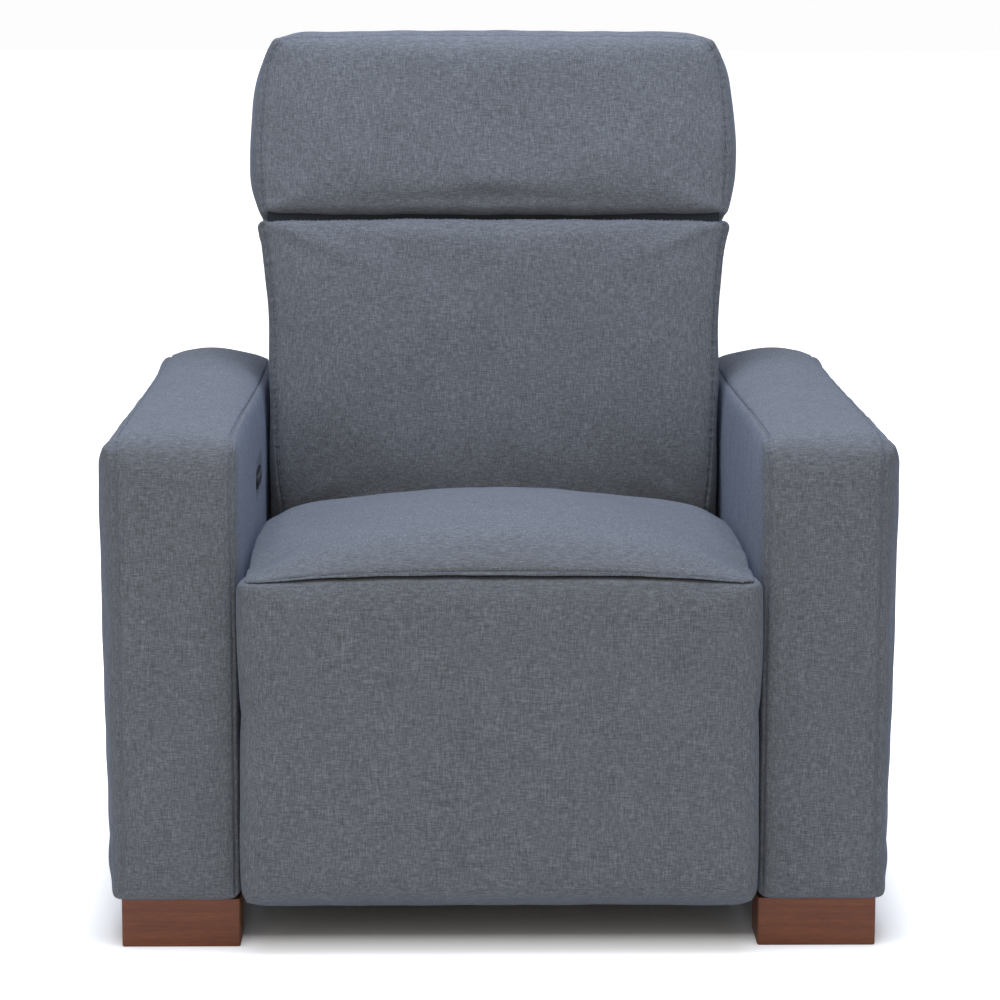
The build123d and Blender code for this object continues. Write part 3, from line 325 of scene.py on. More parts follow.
def along(corners, spacing=path_spacing):
    """Points a few millimetres apart along a polyline given in metres."""
    corners = np.asarray(corners, float)
    lengths = np.linalg.norm(np.diff(corners, axis=0), axis=1)
    places = np.concatenate(([0], np.cumsum(lengths)))
    count = max(2, int(places[-1] / spacing))
    wanted = np.linspace(0, places[-1], count)
    return np.stack([np.interp(wanted, places, corners[:, i]) for i in range(3)], axis=1)


def nearest(points, path):
    """Distance from each point to a dense path, and the index of its nearest path point."""
    tree = KDTree(len(path))
    for index, place in enumerate(path):
        tree.insert(place, index)
    tree.balance()
    found = [tree.find(p) for p in points]
    return np.array([f[2] for f in found]), np.array([f[1] for f in found])


def on_surface(piece, path):
    """The path drawn onto the piece's surface."""
    return np.array([piece.closest_point_on_mesh(Vector(p))[1] for p in path])


# %% The cloth simulation, with the sewn lines held
simulation_frames = 20
solver_quality = 5
held_width = 7 * MM
cloth_mass, cloth_pressure = 0.3, 4.0
stretch_stiffness, shear_stiffness, bending_stiffness = 15, 5, 0.5


def blow_up(piece, cap, sewn=(), let=None):
    """Swells the cover by up to cap metres. sewn lines stay, and let gives each point's share."""
    start = points_of(piece)
    cloth = piece.modifiers.new("cover", "CLOTH")
    settings = cloth.settings
    settings.quality = solver_quality
    settings.mass = cloth_mass
    settings.tension_stiffness = settings.compression_stiffness = stretch_stiffness
    settings.shear_stiffness = shear_stiffness
    settings.bending_stiffness = bending_stiffness
    settings.use_pressure = True
    settings.uniform_pressure_force = cloth_pressure
    settings.effector_weights.gravity = 0
    if len(sewn):
        distance, _ = nearest(start, np.concatenate(sewn))
        group = piece.vertex_groups.new(name="sewn")
        group.add([int(i) for i in np.flatnonzero(distance < held_width)], 1.0, "REPLACE")
        settings.vertex_group_mass = group.name
    cloth.point_cache.frame_start = 1
    cloth.point_cache.frame_end = simulation_frames
    for number in range(1, simulation_frames + 1):
        scene.frame_set(number)
    take(piece)
    bpy.ops.object.modifier_apply(modifier=cloth.name)
    scene.frame_set(1)
    piece.vertex_groups.clear()
    move = points_of(piece) - start
    tiny = 1e-9
    reach = np.linalg.norm(move, axis=1, keepdims=True) + tiny
    limited = move * (cap * np.tanh(reach / cap) / reach)
    if let is not None:
        limited *= let(start)[:, None]
    put_points(piece, start + limited)


# %% Wadding under a cover is never quite even
wave_directions = ((1, 0.3, 0.5), (-0.4, 1, 0.7), (0.6, -0.5, 1), (1.3, 1.1, -0.6))
wave_shortening, wave_offset = 0.23, 1.7


def uneven(piece, height, wave=110 * MM, seed=0.0):
    """Moves the surface in and out by gentle waves of a hand's width."""
    points = points_of(piece)
    total = np.zeros(len(points))
    for k, direction in enumerate(wave_directions):
        phase = points @ np.array(direction) * (2 * math.pi / wave) * (1 + wave_shortening * k)
        total += np.sin(phase + seed + wave_offset * k) / 4
    put_points(piece, points + normals_of(piece) * (total * height)[:, None])


# %% A seam draws the cover in
short_pucker, long_pucker = 13 * MM, 47 * MM
hollow_share = 0.6


def refine_near(piece, path, width):
    """Divides the faces near a seam, so that a narrow fold has faces to live on."""
    distance, _ = nearest(points_of(piece), path)
    close = distance < width
    take(piece)
    for polygon in piece.data.polygons:
        polygon.select = all(close[v] for v in polygon.vertices)
    for edge in piece.data.edges:
        edge.select = False
    bpy.ops.object.mode_set(mode="EDIT")
    bpy.ops.mesh.select_mode(type="FACE")
    bpy.ops.mesh.subdivide(number_cuts=1)
    bpy.ops.object.mode_set(mode="OBJECT")


def draw_in(piece, path, depth=2.2 * MM, narrow=2.2 * MM, wide=11 * MM, pucker=0.35):
    """Pulls the cover in along a seam: a narrow fold in a wide, slightly puckered hollow."""
    path = on_surface(piece, along(path))
    refine_near(piece, path, 3 * narrow)
    points = points_of(piece)
    distance, index = nearest(points, path)
    turns = 2 * math.pi * (index * path_spacing)
    waves = 1 + pucker * np.sin(turns / short_pucker) * np.sin(turns / long_pucker)
    fold = np.exp(-((distance / narrow) ** 2)) * depth
    hollow = np.exp(-((distance / wide) ** 2)) * depth * hollow_share * waves
    put_points(piece, points - normals_of(piece) * (fold + hollow)[:, None])
    return path


# %% Finishing a cover: one subdivision, smooth shading
def finish_cover(piece):
    """Smooths the net a little and subdivides it once."""
    apply_modifier(piece, "SMOOTH", factor=0.5, iterations=2)
    apply_modifier(piece, "SUBSURF", levels=1, render_levels=1)


def shade_smooth(piece):
    """Shades every face of the piece smooth."""
    for polygon in piece.data.polygons:
        polygon.use_smooth = True


# %% A row of stitches is one small bean of thread, repeated along a line beside the seam
stitch_length = 4.2 * MM
stitch_pitch = 5.6 * MM
stitch_radius = 0.55 * MM
stitch_beside = 4.5 * MM
stitch_lift = 0.35


def bean():
    """Points and faces of one stitch along +X: three rings of five points and two tips."""
    rings = [(-0.5, 0.0), (-0.32, 1.0), (0.0, 1.15), (0.32, 1.0), (0.5, 0.0)]
    sides = 5
    points, faces = [], []
    for x, share in rings[1:-1]:
        radius = share * stitch_radius
        for k in range(sides):
            a = 2 * math.pi * k / sides
            points.append((x * stitch_length, radius * math.cos(a), radius * math.sin(a)))
    for ring in range(2):
        for k in range(sides):
            a, b = ring * sides + k, ring * sides + (k + 1) % sides
            faces.append((a, b, b + sides, a + sides))
    low, high = len(points), len(points) + 1
    points += [(rings[0][0] * stitch_length, 0, 0), (rings[-1][0] * stitch_length, 0, 0)]
    for k in range(sides):
        faces.append((low, (k + 1) % sides, k))
        faces.append((high, 2 * sides + k, 2 * sides + (k + 1) % sides))
    return np.array(points), faces


def stitch_rows(name, piece, rows):
    """One mesh of stitches on the piece. Each row is a seam path and the way it lies from it."""
    shape, shape_faces = bean()
    all_points, all_faces = [], []
    for path, beside in rows:
        shifted = np.asarray(path) + np.asarray(beside) * stitch_beside
        line = along(on_surface(piece, shifted), stitch_pitch)
        for a, b in zip(line[:-1], line[1:]):
            _, place, normal, _ = piece.closest_point_on_mesh(Vector((a + b) / 2))
            forward = Vector(b - a).normalized()
            side = normal.cross(forward).normalized()
            up = forward.cross(side)
            first = len(all_points) * len(shape)
            lifted = np.array(place + up * stitch_radius * stitch_lift)
            all_points.append(shape @ np.array((forward, side, up)) + lifted)
            all_faces += [tuple(first + v for v in face) for face in shape_faces]
    mesh = bpy.data.meshes.new(name)
    mesh.from_pydata(np.concatenate(all_points).tolist(), [], all_faces)
    thread = bpy.data.objects.new(name, mesh)
    scene.collection.objects.link(thread)
    shade_smooth(thread)
    print(name, len(all_points), "stitches")
    return thread


# %% [markdown]
# The arms. On the real chair each is a boxed frame wrapped in wadding: one band of fabric runs
# up the front and back along the top, and an inner and an outer side panel are sewn to it. The
# front turns into the top over a soft roll, the top is crowned until it levels out at the rear,
# and the outer panel bulges past the seam. One arm is made and the other is its mirror image.

# %% Sizes of an arm in millimetres, read from the frame
arm_low, arm_high = (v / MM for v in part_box("arm_cover_left"))
inner_face, outer_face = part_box("base_rail_left")[1].x / MM, arm_high.x
front_y, rear_y = arm_low.y, arm_high.y
bottom_z = arm_low.z
crown_rise, shoulder_drop = 12, 18
crown_room = 3
shoulder_z = arm_high.z - crown_rise - crown_room
arm_middle = (inner_face + outer_face) / 2
front_roll, rear_roll, side_roll, top_roll, inner_roll = 38, 38, 20, 20, 6
under_roll, bottom_roll, toe_roll = 12, 30, 8
print("arm:", round(inner_face), "to", round(outer_face), "mm,", round(shoulder_z), "mm high")

# %% The band's outline in side view, which both seams follow
seam_foot = 6
roll_steps = 8
crown_starts = (front_y - 20, 250)
crown_ends = (300, rear_y)
crown_depth = 60
rear_share = 0.7
drop_power = 2.5


def band_line(inset=0.0):
    """(y, z) points in mm from the front's foot over the top to the rear's foot."""
    angles = [math.pi / 2 * k / roll_steps for k in range(roll_steps + 1)]
    line = [(front_y + inset, bottom_z + seam_foot)]
    for a in angles:
        line.append((
            front_y + inset + front_roll * (1 - math.cos(a)),
            shoulder_z - inset - front_roll * (1 - math.sin(a)),
        ))
    for a in angles:
        line.append((
            rear_y - inset - rear_roll * (1 - math.sin(a)),
            shoulder_z - inset - rear_roll * (1 - math.cos(a)),
        ))
    line.append((rear_y - inset, bottom_z + seam_foot))
    return line


def arm_crown(points):
    """Rise of the arm's top, in metres: its middle rises and its edges sink, less at the rear."""
    across = (points[:, 0] / MM - arm_middle) / ((outer_face - inner_face) / 2)
    lengthwise = step(points[:, 1] / MM, *crown_starts)
    at_rear = step(points[:, 1] / MM, *crown_ends)
    top = step(points[:, 2] / MM, shoulder_z - crown_depth, shoulder_z)
    rise = crown_rise * (1 - np.clip(across ** 2, 0, 1)) * (1 - at_rear)
    edge = np.clip(np.abs(across), 0, 1) ** drop_power
    drop = shoulder_drop * edge * (1 - rear_share * at_rear)
    return (rise - drop) * MM * lengthwise * top


# %% The arm's foam block, rounded
inner_gap, outer_gap, end_gap, bottom_gap = 1, 5, 2, 1.5
arm_net = 7.5 * MM
arm_block = (
    (inner_face + inner_gap, front_y + end_gap, bottom_z - bottom_gap),
    (outer_face - outer_gap, rear_y - end_gap, shoulder_z - end_gap),
)
arm = foam_block("arm_pad_left", *arm_block, net=arm_net)
shape = points_of(arm)
round_edges(shape, arm_block, [
    ((0, 2), (-1, 1), under_roll, bottom_roll),
    ((0, 2), (-1, -1), top_roll),
    ((0, 2), (1, -1), inner_roll),
    ((1, 2), (1, -1), front_roll),
    ((1, 2), (-1, -1), rear_roll),
    ((1, 2), (1, 1), toe_roll),
    ((0, 1), (-1, 1), side_roll),
    ((0, 1), (-1, -1), side_roll),
    ((0, 1), (1, 1), inner_roll),
])
shape[:, 2] += arm_crown(shape)
put_points(arm, shape)
print("arm net:", len(arm.data.vertices), "points")

# %% Its seams: the inner edge, and the outer one set in from the side
inner_seam_inset, outer_seam_inset = 2, 20


def arm_seam(x):
    """A seam of the arm in metres, at one distance from the middle of the chair."""
    dense = along(np.array([(x * MM, y * MM, z * MM) for y, z in band_line()]))
    dense[:, 2] += arm_crown(dense)
    return dense


inner_seam = arm_seam(inner_face + inner_seam_inset)
outer_seam = arm_seam(outer_face - outer_seam_inset)
print("arm seams:", len(inner_seam), "and", len(outer_seam), "points")

# %% The cover swells between the seams, but not where steel runs beside it
inner_zone = (inner_face + 4, inner_face + 16)
rail_zone, behind_zone = (300, 430), (300, 350)
foot_zone = (bottom_z + 2, bottom_z + 20)
inner_hold = 0.45


def arm_free(points):
    """Share of the swelling each point keeps: little low on the inner side, beside the rails."""
    inner = 1 - step(points[:, 0] / MM, *inner_zone)
    low = 1 - step(points[:, 2] / MM, *rail_zone)
    behind = step(points[:, 1] / MM, *behind_zone)
    at_foot = 1 - step(points[:, 2] / MM, *foot_zone)
    return (1 - inner * np.maximum(low, behind)) * (1 - at_foot) * (1 - inner_hold * inner)


blow_up(arm, cap=6 * MM, sewn=[inner_seam, outer_seam], let=arm_free)
finish_cover(arm)
uneven(arm, height=0.7 * MM, seed=0.4)
inner_path = draw_in(arm, inner_seam)
outer_path = draw_in(arm, outer_seam)
shade_smooth(arm)
print("arm cover:", len(arm.data.polygons), "faces")


# %% The right arm is a mirrored copy with its faces turned out again
def mirrored(piece, name):
    """A copy of the piece on the other side of the chair, with its own mesh."""
    twin = piece.copy()
    twin.data = piece.data.copy()
    twin.name = twin.data.name = name
    scene.collection.objects.link(twin)
    twin.data.transform(Matrix.Scale(-1, 4, (1, 0, 0)))
    take(twin)
    bpy.ops.object.mode_set(mode="EDIT")
    bpy.ops.mesh.select_all(action="SELECT")
    bpy.ops.mesh.normals_make_consistent(inside=False)
    bpy.ops.object.mode_set(mode="OBJECT")
    return twin


arm_right = mirrored(arm, "arm_pad_right")

# %% The control plate presses the fabric flat round itself
plate_low, plate_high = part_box("control_plate")
plate_margin, plate_fade = 4 * MM, 14 * MM
plate_reach, plate_gap = 12, 0.5
cover = points_of(arm_right)
to_front, to_rear = plate_low.y - plate_margin - cover[:, 1], cover[:, 1] - plate_high.y - plate_margin
to_foot, to_top = plate_low.z - plate_margin - cover[:, 2], cover[:, 2] - plate_high.z - plate_margin
off_plate = np.maximum(np.maximum(to_front, to_rear), np.maximum(to_foot, to_top))
round_plate = 1 - step(off_plate, 0, plate_fade)
flat_x = -(inner_face + plate_gap) * MM
facing = (cover[:, 0] > -(inner_face + plate_reach) * MM) & (cover[:, 0] > flat_x)
pressed = cover[:, 0] + (flat_x - cover[:, 0]) * round_plate
cover[:, 0] = np.where(facing, pressed, cover[:, 0])
put_points(arm_right, cover)

for side, pad in (("left", arm), ("right", arm_right)):
    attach(pad, "base")
    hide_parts(f"arm_cover_{side}")
print("arms ride the base")

# %% Topstitching beside the arm's seams
towards_outside = (1, 0, 0)
towards_middle = (-1, 0, 0)
arm_rows = [(inner_path, towards_outside), (outer_path, towards_middle)]
arm_thread = stitch_rows("arm_stitches_left", arm, arm_rows)
arm_thread_right = mirrored(arm_thread, "arm_stitches_right")
for thread in (arm_thread, arm_thread_right):
    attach(thread, "base")

# %% [markdown]
# The seat. Its cushion overhangs the front panel, is crowned across, and rolls over its front
# edge down to a seam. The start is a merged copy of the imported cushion, because its crown was
# already worked out there; its top is lowered a little, and the simulation fills it again.


# %% A merged copy of a packed foam shape, with an even net
def copy_of(node, name):
    """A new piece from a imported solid, with its doubles merged and evenly meshed."""
    piece = nodes[node].copy()
    piece.data = nodes[node].data.copy()
    piece.parent = None
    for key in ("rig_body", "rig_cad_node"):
        if key in piece:
            del piece[key]
    piece.name = piece.data.name = name
    scene.collection.objects.link(piece)
    take(piece)
    bpy.ops.object.mode_set(mode="EDIT")
    bpy.ops.mesh.select_all(action="SELECT")
    bpy.ops.mesh.remove_doubles(threshold=0.05 * MM)
    bpy.ops.object.mode_set(mode="OBJECT")
    apply_modifier(piece, "REMESH", mode="VOXEL", voxel_size=net_size)
    return piece


# %% Sizes of the seat, and how its front seam sags towards the arms
seat_low, seat_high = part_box("seat_cushion")
seam_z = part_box("front_pad")[1].z
seam_drop = 8 * MM
seam_reach = (6 * MM, 60 * MM)
sag_zone = (seat_low.y + 60 * MM, seat_low.y + 130 * MM)


def seam_sag(points):
    """Drop of the seat's front seam towards the arms, fading away from the seam."""
    side = np.clip(np.abs(points[:, 0]) / seat_high.x, 0, 1) ** 3
    near_seam = 1 - step(np.abs(points[:, 2] - seam_z), *seam_reach)
    in_front = 1 - step(points[:, 1], *sag_zone)
    return seam_drop * side * near_seam * in_front


# %% Where the seat may swell
base_zone = (seat_low.z + 2 * MM, seat_low.z + 25 * MM)
beside_zone = (seat_high.x - 14 * MM, seat_high.x - 4 * MM)
overhang_end, overhang_top = seat_low.y + 66 * MM, seam_z + 4 * MM
face_zone = (seat_low.y + 8 * MM, seat_low.y + 40 * MM)
above_seam_zone = (seam_z, seam_z + 36 * MM)
beside_hold, low_face_hold = 0.75, 0.85


def seat_free(points):
    """The cushion swells upwards and forwards; it stays flat below and beside the arms."""
    bottom = 1 - step(points[:, 2], *base_zone)
    beside = step(np.abs(points[:, 0]), *beside_zone)
    overhang = (points[:, 1] < overhang_end) & (points[:, 2] < overhang_top)
    low_face = (1 - step(points[:, 1], *face_zone)) * (1 - step(points[:, 2], *above_seam_zone))
    swelling = (1 - bottom) * (1 - beside_hold * beside) * np.where(overhang, 0, 1)
    return swelling * (1 - low_face_hold * low_face)


# %% The seat cushion: lowered, rolled over its front edge and swollen
seat_sink, seat_side_sink = 11 * MM, 15 * MM
sink_zone = (seam_z - 10 * MM, seam_z + 40 * MM)
seat_roll, roll_share, roll_back = 75 * MM, 0.6, 1 * MM

seat = copy_of("seat_cushion", "seat_pad")
shape = points_of(seat)
sunk = step(shape[:, 2], *sink_zone)
sideways = np.clip(np.abs(shape[:, 0]) / seat_high.x, 0, 1) ** 2
shape[:, 2] -= (seat_sink + seat_side_sink * sideways) * sunk
rolled = np.clip(1 - (shape[:, 1] - seat_low.y) / seat_roll, 0, 1)
above = np.maximum(shape[:, 2] - seam_z, 0)
shape[:, 2] -= above * roll_share * (1 - np.sqrt(1 - rolled ** 2))
shape[:, 1] += roll_back * rolled
put_points(seat, shape)
blow_up(seat, cap=8 * MM, let=seat_free)
finish_cover(seat)
uneven(seat, height=0.9 * MM, wave=150 * MM, seed=1.1)
shape = points_of(seat)
shape[:, 2] -= seam_sag(shape)
put_points(seat, shape)
print("seat:", len(seat.data.polygons), "faces")

# %% A row of stitches above its front seam
stitch_rise, row_inset = 6 * MM, 5 * MM
row_end = seat_high.x - row_inset
row_points = 60

row_x = np.linspace(-row_end, row_end, row_points)
row_y, row_z = np.full(row_points, seat_low.y), np.full(row_points, seam_z + stitch_rise)
row = np.stack([row_x, row_y, row_z], axis=1)
row[:, 2] -= seam_sag(row)
seat_path = draw_in(seat, row, depth=1.6 * MM, narrow=1.5 * MM, wide=6 * MM, pucker=0.2)
shade_smooth(seat)
on_the_seam = (0, 0, 0)
seat_thread = stitch_rows("seat_stitches", seat, [(seat_path, on_the_seam)])
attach(seat_thread, "seat")
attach(seat, "seat")
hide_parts("seat_cushion")

# %% [markdown]
# The front panel is the closed footrest. Its cover is one piece of fabric over two foam pads,
# so the face is smooth, and only the sides show a small pinch where the panel folds over the
# edge between the pads. Both pads turn together, so one cover that rides the footrest fits both.

# %% The front panel's sizes in millimetres
upper_low, upper_high = (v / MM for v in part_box("front_pad"))
lower_low, lower_high = (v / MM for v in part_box("footrest_pad"))
fold_z = (upper_low.z + lower_high.z) / 2
panel_overlap, panel_shoulder = 4.5, 12.5
panel_half = lower_high.x + panel_overlap
behind_half = panel_half - panel_shoulder
panel_gap, panel_drop, panel_tuck = 2, 6, 4
foot_roll, seam_roll, panel_side_roll, foot_corner_roll = 18, 3, 16, 22
fold_reach, pinch = 6, 3
panel_block = (
    (-panel_half, lower_low.y + panel_gap, lower_low.z - panel_drop),
    (panel_half, lower_high.y, upper_high.z + panel_tuck),
)
panel = foam_block("front_panel_pad", *panel_block)


# %% Shaping the panel: rolled edges, a thinner upper half, pinched sides
def panel_half_at(z):
    """Half width in mm at a height: fuller between the pinches at its ends and at the fold."""
    t_low = np.clip((z - lower_low.z) / (fold_z - lower_low.z), 0, 1)
    t_high = np.clip((z - fold_z) / (upper_high.z - fold_z), 0, 1)
    swell = np.where(z < fold_z, np.sin(math.pi * t_low), np.sin(math.pi * t_high))
    return panel_half - pinch + pinch * np.sqrt(np.clip(swell, 0, 1))


shape = points_of(panel)
round_edges(shape, panel_block, [
    ((1, 2), (1, 1), foot_roll),
    ((1, 2), (1, -1), seam_roll),
    ((0, 1), (-1, 1), panel_side_roll),
    ((0, 2), (-1, 1), foot_corner_roll),
    ((0, 1), (1, 1), panel_side_roll),
    ((0, 2), (1, 1), foot_corner_roll),
])
depth_share = (shape[:, 1] / MM - lower_low.y) / (lower_high.y - lower_low.y)
thinner = lower_high.y - upper_high.y
thin = step(shape[:, 2] / MM, fold_z - fold_reach, fold_z + fold_reach) * thinner
shape[:, 1] -= thin * depth_share * MM
wide = panel_half_at(shape[:, 2] / MM) / panel_half
narrow_zone, flat_zone = (front_y - 12, front_y - 4), (front_y - 16, front_y - 6)
behind = step(shape[:, 1] / MM, *narrow_zone)
shape[:, 0] *= wide * (1 - behind) + behind_half / panel_half * behind
shape[:, 2] -= seam_sag(shape)
put_points(panel, shape)


def panel_free(points):
    """The face swells; the back and the part between the arms stay flat."""
    return 1 - step(points[:, 1] / MM, *flat_zone)


blow_up(panel, cap=7 * MM, let=panel_free)
finish_cover(panel)
uneven(panel, height=0.9 * MM, wave=170 * MM, seed=2.3)
shade_smooth(panel)
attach(panel, "footrest")
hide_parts("front_pad", "footrest_pad")
print("front panel:", len(panel.data.polygons), "faces")

# %% [markdown]
# The back and the headrest lean by fourteen degrees. They are modelled upright, with z as the
# distance up the back and -y as the distance forward of the hinge, and leaned at the end by one
# turn about the hinge. Each is a face panel and a boxing strip: the seam between them is held
# in the simulation, so the face puffs like a pillow inside it.

# %% Sizes of the back, in millimetres up from the hinge and forward of it
lean = math.radians(14)
hinge = Vector((0, 130, 320)) * MM
lean_back = Matrix.Translation(hinge) @ Matrix.Rotation(-lean, 4, "X")
cushion_bottom, cushion_top = 32, 461
head_bottom, head_top = 464.5, 700
face_forward, cushion_rear, shell_rear = 66, -14, -147
low_half, arm_half, high_half = 284, 287, 305
flare_start, flare_end, flare_power = 280, 453, 2.6
head_low_half, head_middle_half, head_top_half = 302, 306, 291
edge_roll, crease_roll, rear_edge_roll = 26, 10, 20
face_gap, pillow_crown = 3, 11
rim_forward, rim_foot = 54, 6
width_samples, rim_points, corner_points = 50, 12, 7
both_sides = (-1, 1)


def back_half(u):
    """Half width of the back cushion in mm, by the distance up the back."""
    low_share = np.clip((u - cushion_bottom) / (flare_start - cushion_bottom), 0, 1)
    wider = np.clip((u - flare_start) / (flare_end - flare_start), 0, 1)
    narrow = low_half + (arm_half - low_half) * low_share
    return narrow + (high_half - arm_half) * wider ** flare_power


def head_half(u):
    """Half width of the headrest in mm, on a bow through its low, middle and top width."""
    t = np.clip((u - head_bottom) / (head_top - head_bottom), 0, 1)
    rise = head_middle_half - head_low_half
    fall = head_low_half - head_top_half
    return head_low_half + (4 * rise + fall) * t - 2 * (2 * rise + fall) * t * t


# %% A pillow of the back: a block rounded at its face, crowned, and widened by a rule
def back_pillow(name, bottom, top, rear, half_at, corner_rolls, bottom_roll, top_roll):
    """One upright pillow in its own axes, ready for the simulation."""
    half = float(np.max(half_at(np.linspace(bottom, top, width_samples))))
    block = ((-half, -face_forward + face_gap, bottom), (half, -rear, top))
    pillow = foam_block(name, *block)
    points = points_of(pillow)
    edges = [((0, 2), (side, 1), corner_rolls[0]) for side in both_sides]
    edges += [((0, 2), (side, -1), corner_rolls[1]) for side in both_sides]
    edges += [((0, 1), (side, 1), edge_roll) for side in both_sides]
    edges += [((1, 2), (1, -1), edge_roll, top_roll), ((1, 2), (1, 1), edge_roll, bottom_roll)]
    if rear < cushion_rear:
        edges += [((1, 2), (-1, -1), rear_edge_roll)]
        edges += [((0, 1), (side, -1), rear_edge_roll) for side in both_sides]
    round_edges(points, block, edges)
    points[:, 0] *= half_at(points[:, 2] / MM) / half
    across = 1 - np.clip(np.abs(points[:, 0]) / (half * MM), 0, 1) ** 2
    front = 1 - step(points[:, 1] / MM, -face_forward, -cushion_rear)
    points[:, 1] -= pillow_crown * MM * across * front
    put_points(pillow, points)
    return pillow


def rim_seam(piece, bottom, top, half_at, inset, corner):
    """The seam round a pillow's face, in metres, from its lower left corner over the top."""
    line = []
    for u in np.linspace(bottom + rim_foot, top - corner, rim_points):
        line.append((-(half_at(u) - inset), -rim_forward, u))
    reach = corner - inset
    for a in np.linspace(0, math.pi / 2, corner_points)[1:]:
        x = half_at(top) - corner + reach * math.cos(a)
        line.append((-x, -rim_forward, top - corner + reach * math.sin(a)))
    right = [(-x, y, z) for x, y, z in reversed(line)]
    return on_surface(piece, along(np.array(line + right) * MM))


# %% The back cushion, undercut towards the seat
back_corners, back_top_roll = (6, 14), 8
back_pad = back_pillow(
    "back_pad", cushion_bottom, cushion_top, cushion_rear, back_half, back_corners, edge_roll,
    back_top_roll,
)
under_start, under_length, under_depth = 235, 165, 42
shape = points_of(back_pad)
under = np.clip((under_start - shape[:, 2] / MM) / under_length, 0, 1)
at_face = 1 - step(shape[:, 1] / MM, -face_forward, -cushion_rear)
shape[:, 1] += under_depth * MM * (1 - np.sqrt(1 - under ** 2)) * at_face
put_points(back_pad, shape)
back_rim = rim_seam(back_pad, cushion_bottom, cushion_top, back_half, inset=8, corner=16)

# %% It swells at its face, and the strip between the arms stays
by_arm_zone, over_arm_zone = (arm_half - 12, arm_half - 3), (330, 400)
back_rear_zone = (-10, 8)
back_low_zone = (cushion_bottom, cushion_bottom + 30)
back_high_zone = (cushion_top - 22, cushion_top - 2)
arm_hold, low_hold, high_hold = 0.9, 0.7, 0.8


def back_free(points):
    """The face swells most; the sides between the arms and the rear stay."""
    outer = step(np.abs(points[:, 0]) / MM, *by_arm_zone)
    beside_arm = outer * (1 - step(points[:, 2] / MM, *over_arm_zone))
    rear = step(points[:, 1] / MM, *back_rear_zone)
    low = 1 - step(points[:, 2] / MM, *back_low_zone)
    high = step(points[:, 2] / MM, *back_high_zone)
    return (1 - arm_hold * beside_arm) * (1 - rear) * (1 - low_hold * low) * (1 - high_hold * high)


blow_up(back_pad, cap=12 * MM, sewn=[back_rim], let=back_free)
finish_cover(back_pad)
uneven(back_pad, height=1.2 * MM, wave=160 * MM, seed=3.9)
back_path = draw_in(back_pad, back_rim, depth=2.4 * MM)
shade_smooth(back_pad)
print("back pad:", len(back_pad.data.polygons), "faces")

# %% The headrest, with fuller corners at its top
head_corners, head_top_roll = (14, 34), 18
head_pad = back_pillow(
    "headrest_pad", head_bottom, head_top, shell_rear, head_half, head_corners, crease_roll,
    head_top_roll,
)
head_rim = rim_seam(head_pad, head_bottom, head_top, head_half, inset=9, corner=40)
head_rear_zone, head_low_zone = (60, 120), (head_bottom + 2, head_bottom + 24)
crease_hold = 0.85


def head_free(points):
    """The face and the top swell; the rear half stays."""
    rear = step(points[:, 1] / MM, *head_rear_zone)
    low = 1 - step(points[:, 2] / MM, *head_low_zone)
    return (1 - rear) * (1 - crease_hold * low)


blow_up(head_pad, cap=11 * MM, sewn=[head_rim], let=head_free)
finish_cover(head_pad)
uneven(head_pad, height=1.2 * MM, wave=140 * MM, seed=5.2)
head_path = draw_in(head_pad, head_rim, depth=2.4 * MM)
shade_smooth(head_pad)
print("headrest pad:", len(head_pad.data.polygons), "faces")

# %% [markdown]
# Behind the cushion the back is closed by a padded shell. It is a tight cover over board, with
# hardly any swelling, so rounding and a little unevenness are enough and no simulation is run.

# %% The back's outer shell
shell_bottom, panel_inset = 100, 26
shell_block = ((-arm_half, -cushion_rear, shell_bottom), (arm_half, -shell_rear, cushion_top))
shell = foam_block("back_shell_cover", *shell_block)
shape = points_of(shell)
round_edges(shape, shell_block, [
    ((1, 2), (-1, -1), rear_edge_roll),
    ((1, 2), (-1, 1), rear_edge_roll),
    ((0, 1), (-1, -1), rear_edge_roll),
    ((0, 1), (1, -1), rear_edge_roll),
])
put_points(shell, shape)
finish_cover(shell)
uneven(shell, height=0.6 * MM, wave=180 * MM, seed=0.9)
line_x, line_low, line_high = arm_half - panel_inset, shell_bottom + panel_inset, cushion_top - panel_inset
line_ends = [(-line_x, line_low), (-line_x, line_high), (line_x, line_high), (line_x, line_low)]
shell_line = np.array([(x, -shell_rear, u) for x, u in line_ends + line_ends[:1]]) * MM
shell_path = draw_in(shell, shell_line, depth=1.6 * MM)
shade_smooth(shell)
print("back shell:", len(shell.data.polygons), "faces")

# %% [markdown]
# A strip of black stretch lining closes the crease between the cushion and the headrest and
# hides the hinges behind it; its near-black is painted shade, standing in for the crease's
# shadow. It is sewn to both. A flat grid is enough for it, bent a little inwards and given its
# thickness by a modifier.

# %% The gusset in the crease
gusset_half, gusset_tuck, gusset_forward, gusset_hollow = 288, 9, 57.5, 1
crease_up = (cushion_top + head_bottom) / 2
bpy.ops.object.select_all(action="DESELECT")
bpy.ops.mesh.primitive_grid_add(x_subdivisions=56, y_subdivisions=6, size=1)
gusset = bpy.context.object
gusset.name = gusset.data.name = "crease_gusset"
shape = points_of(gusset)
across, upward = 2 * shape[:, 0], 2 * shape[:, 1]
shape = np.stack([
    across * gusset_half,
    -gusset_forward + gusset_hollow * (1 - upward ** 2),
    crease_up + upward * gusset_tuck,
], axis=1) * MM
put_points(gusset, shape)
apply_modifier(gusset, "SOLIDIFY", thickness=1 * MM, offset=0)
shade_smooth(gusset)
print("gusset:", len(gusset.data.polygons), "faces")

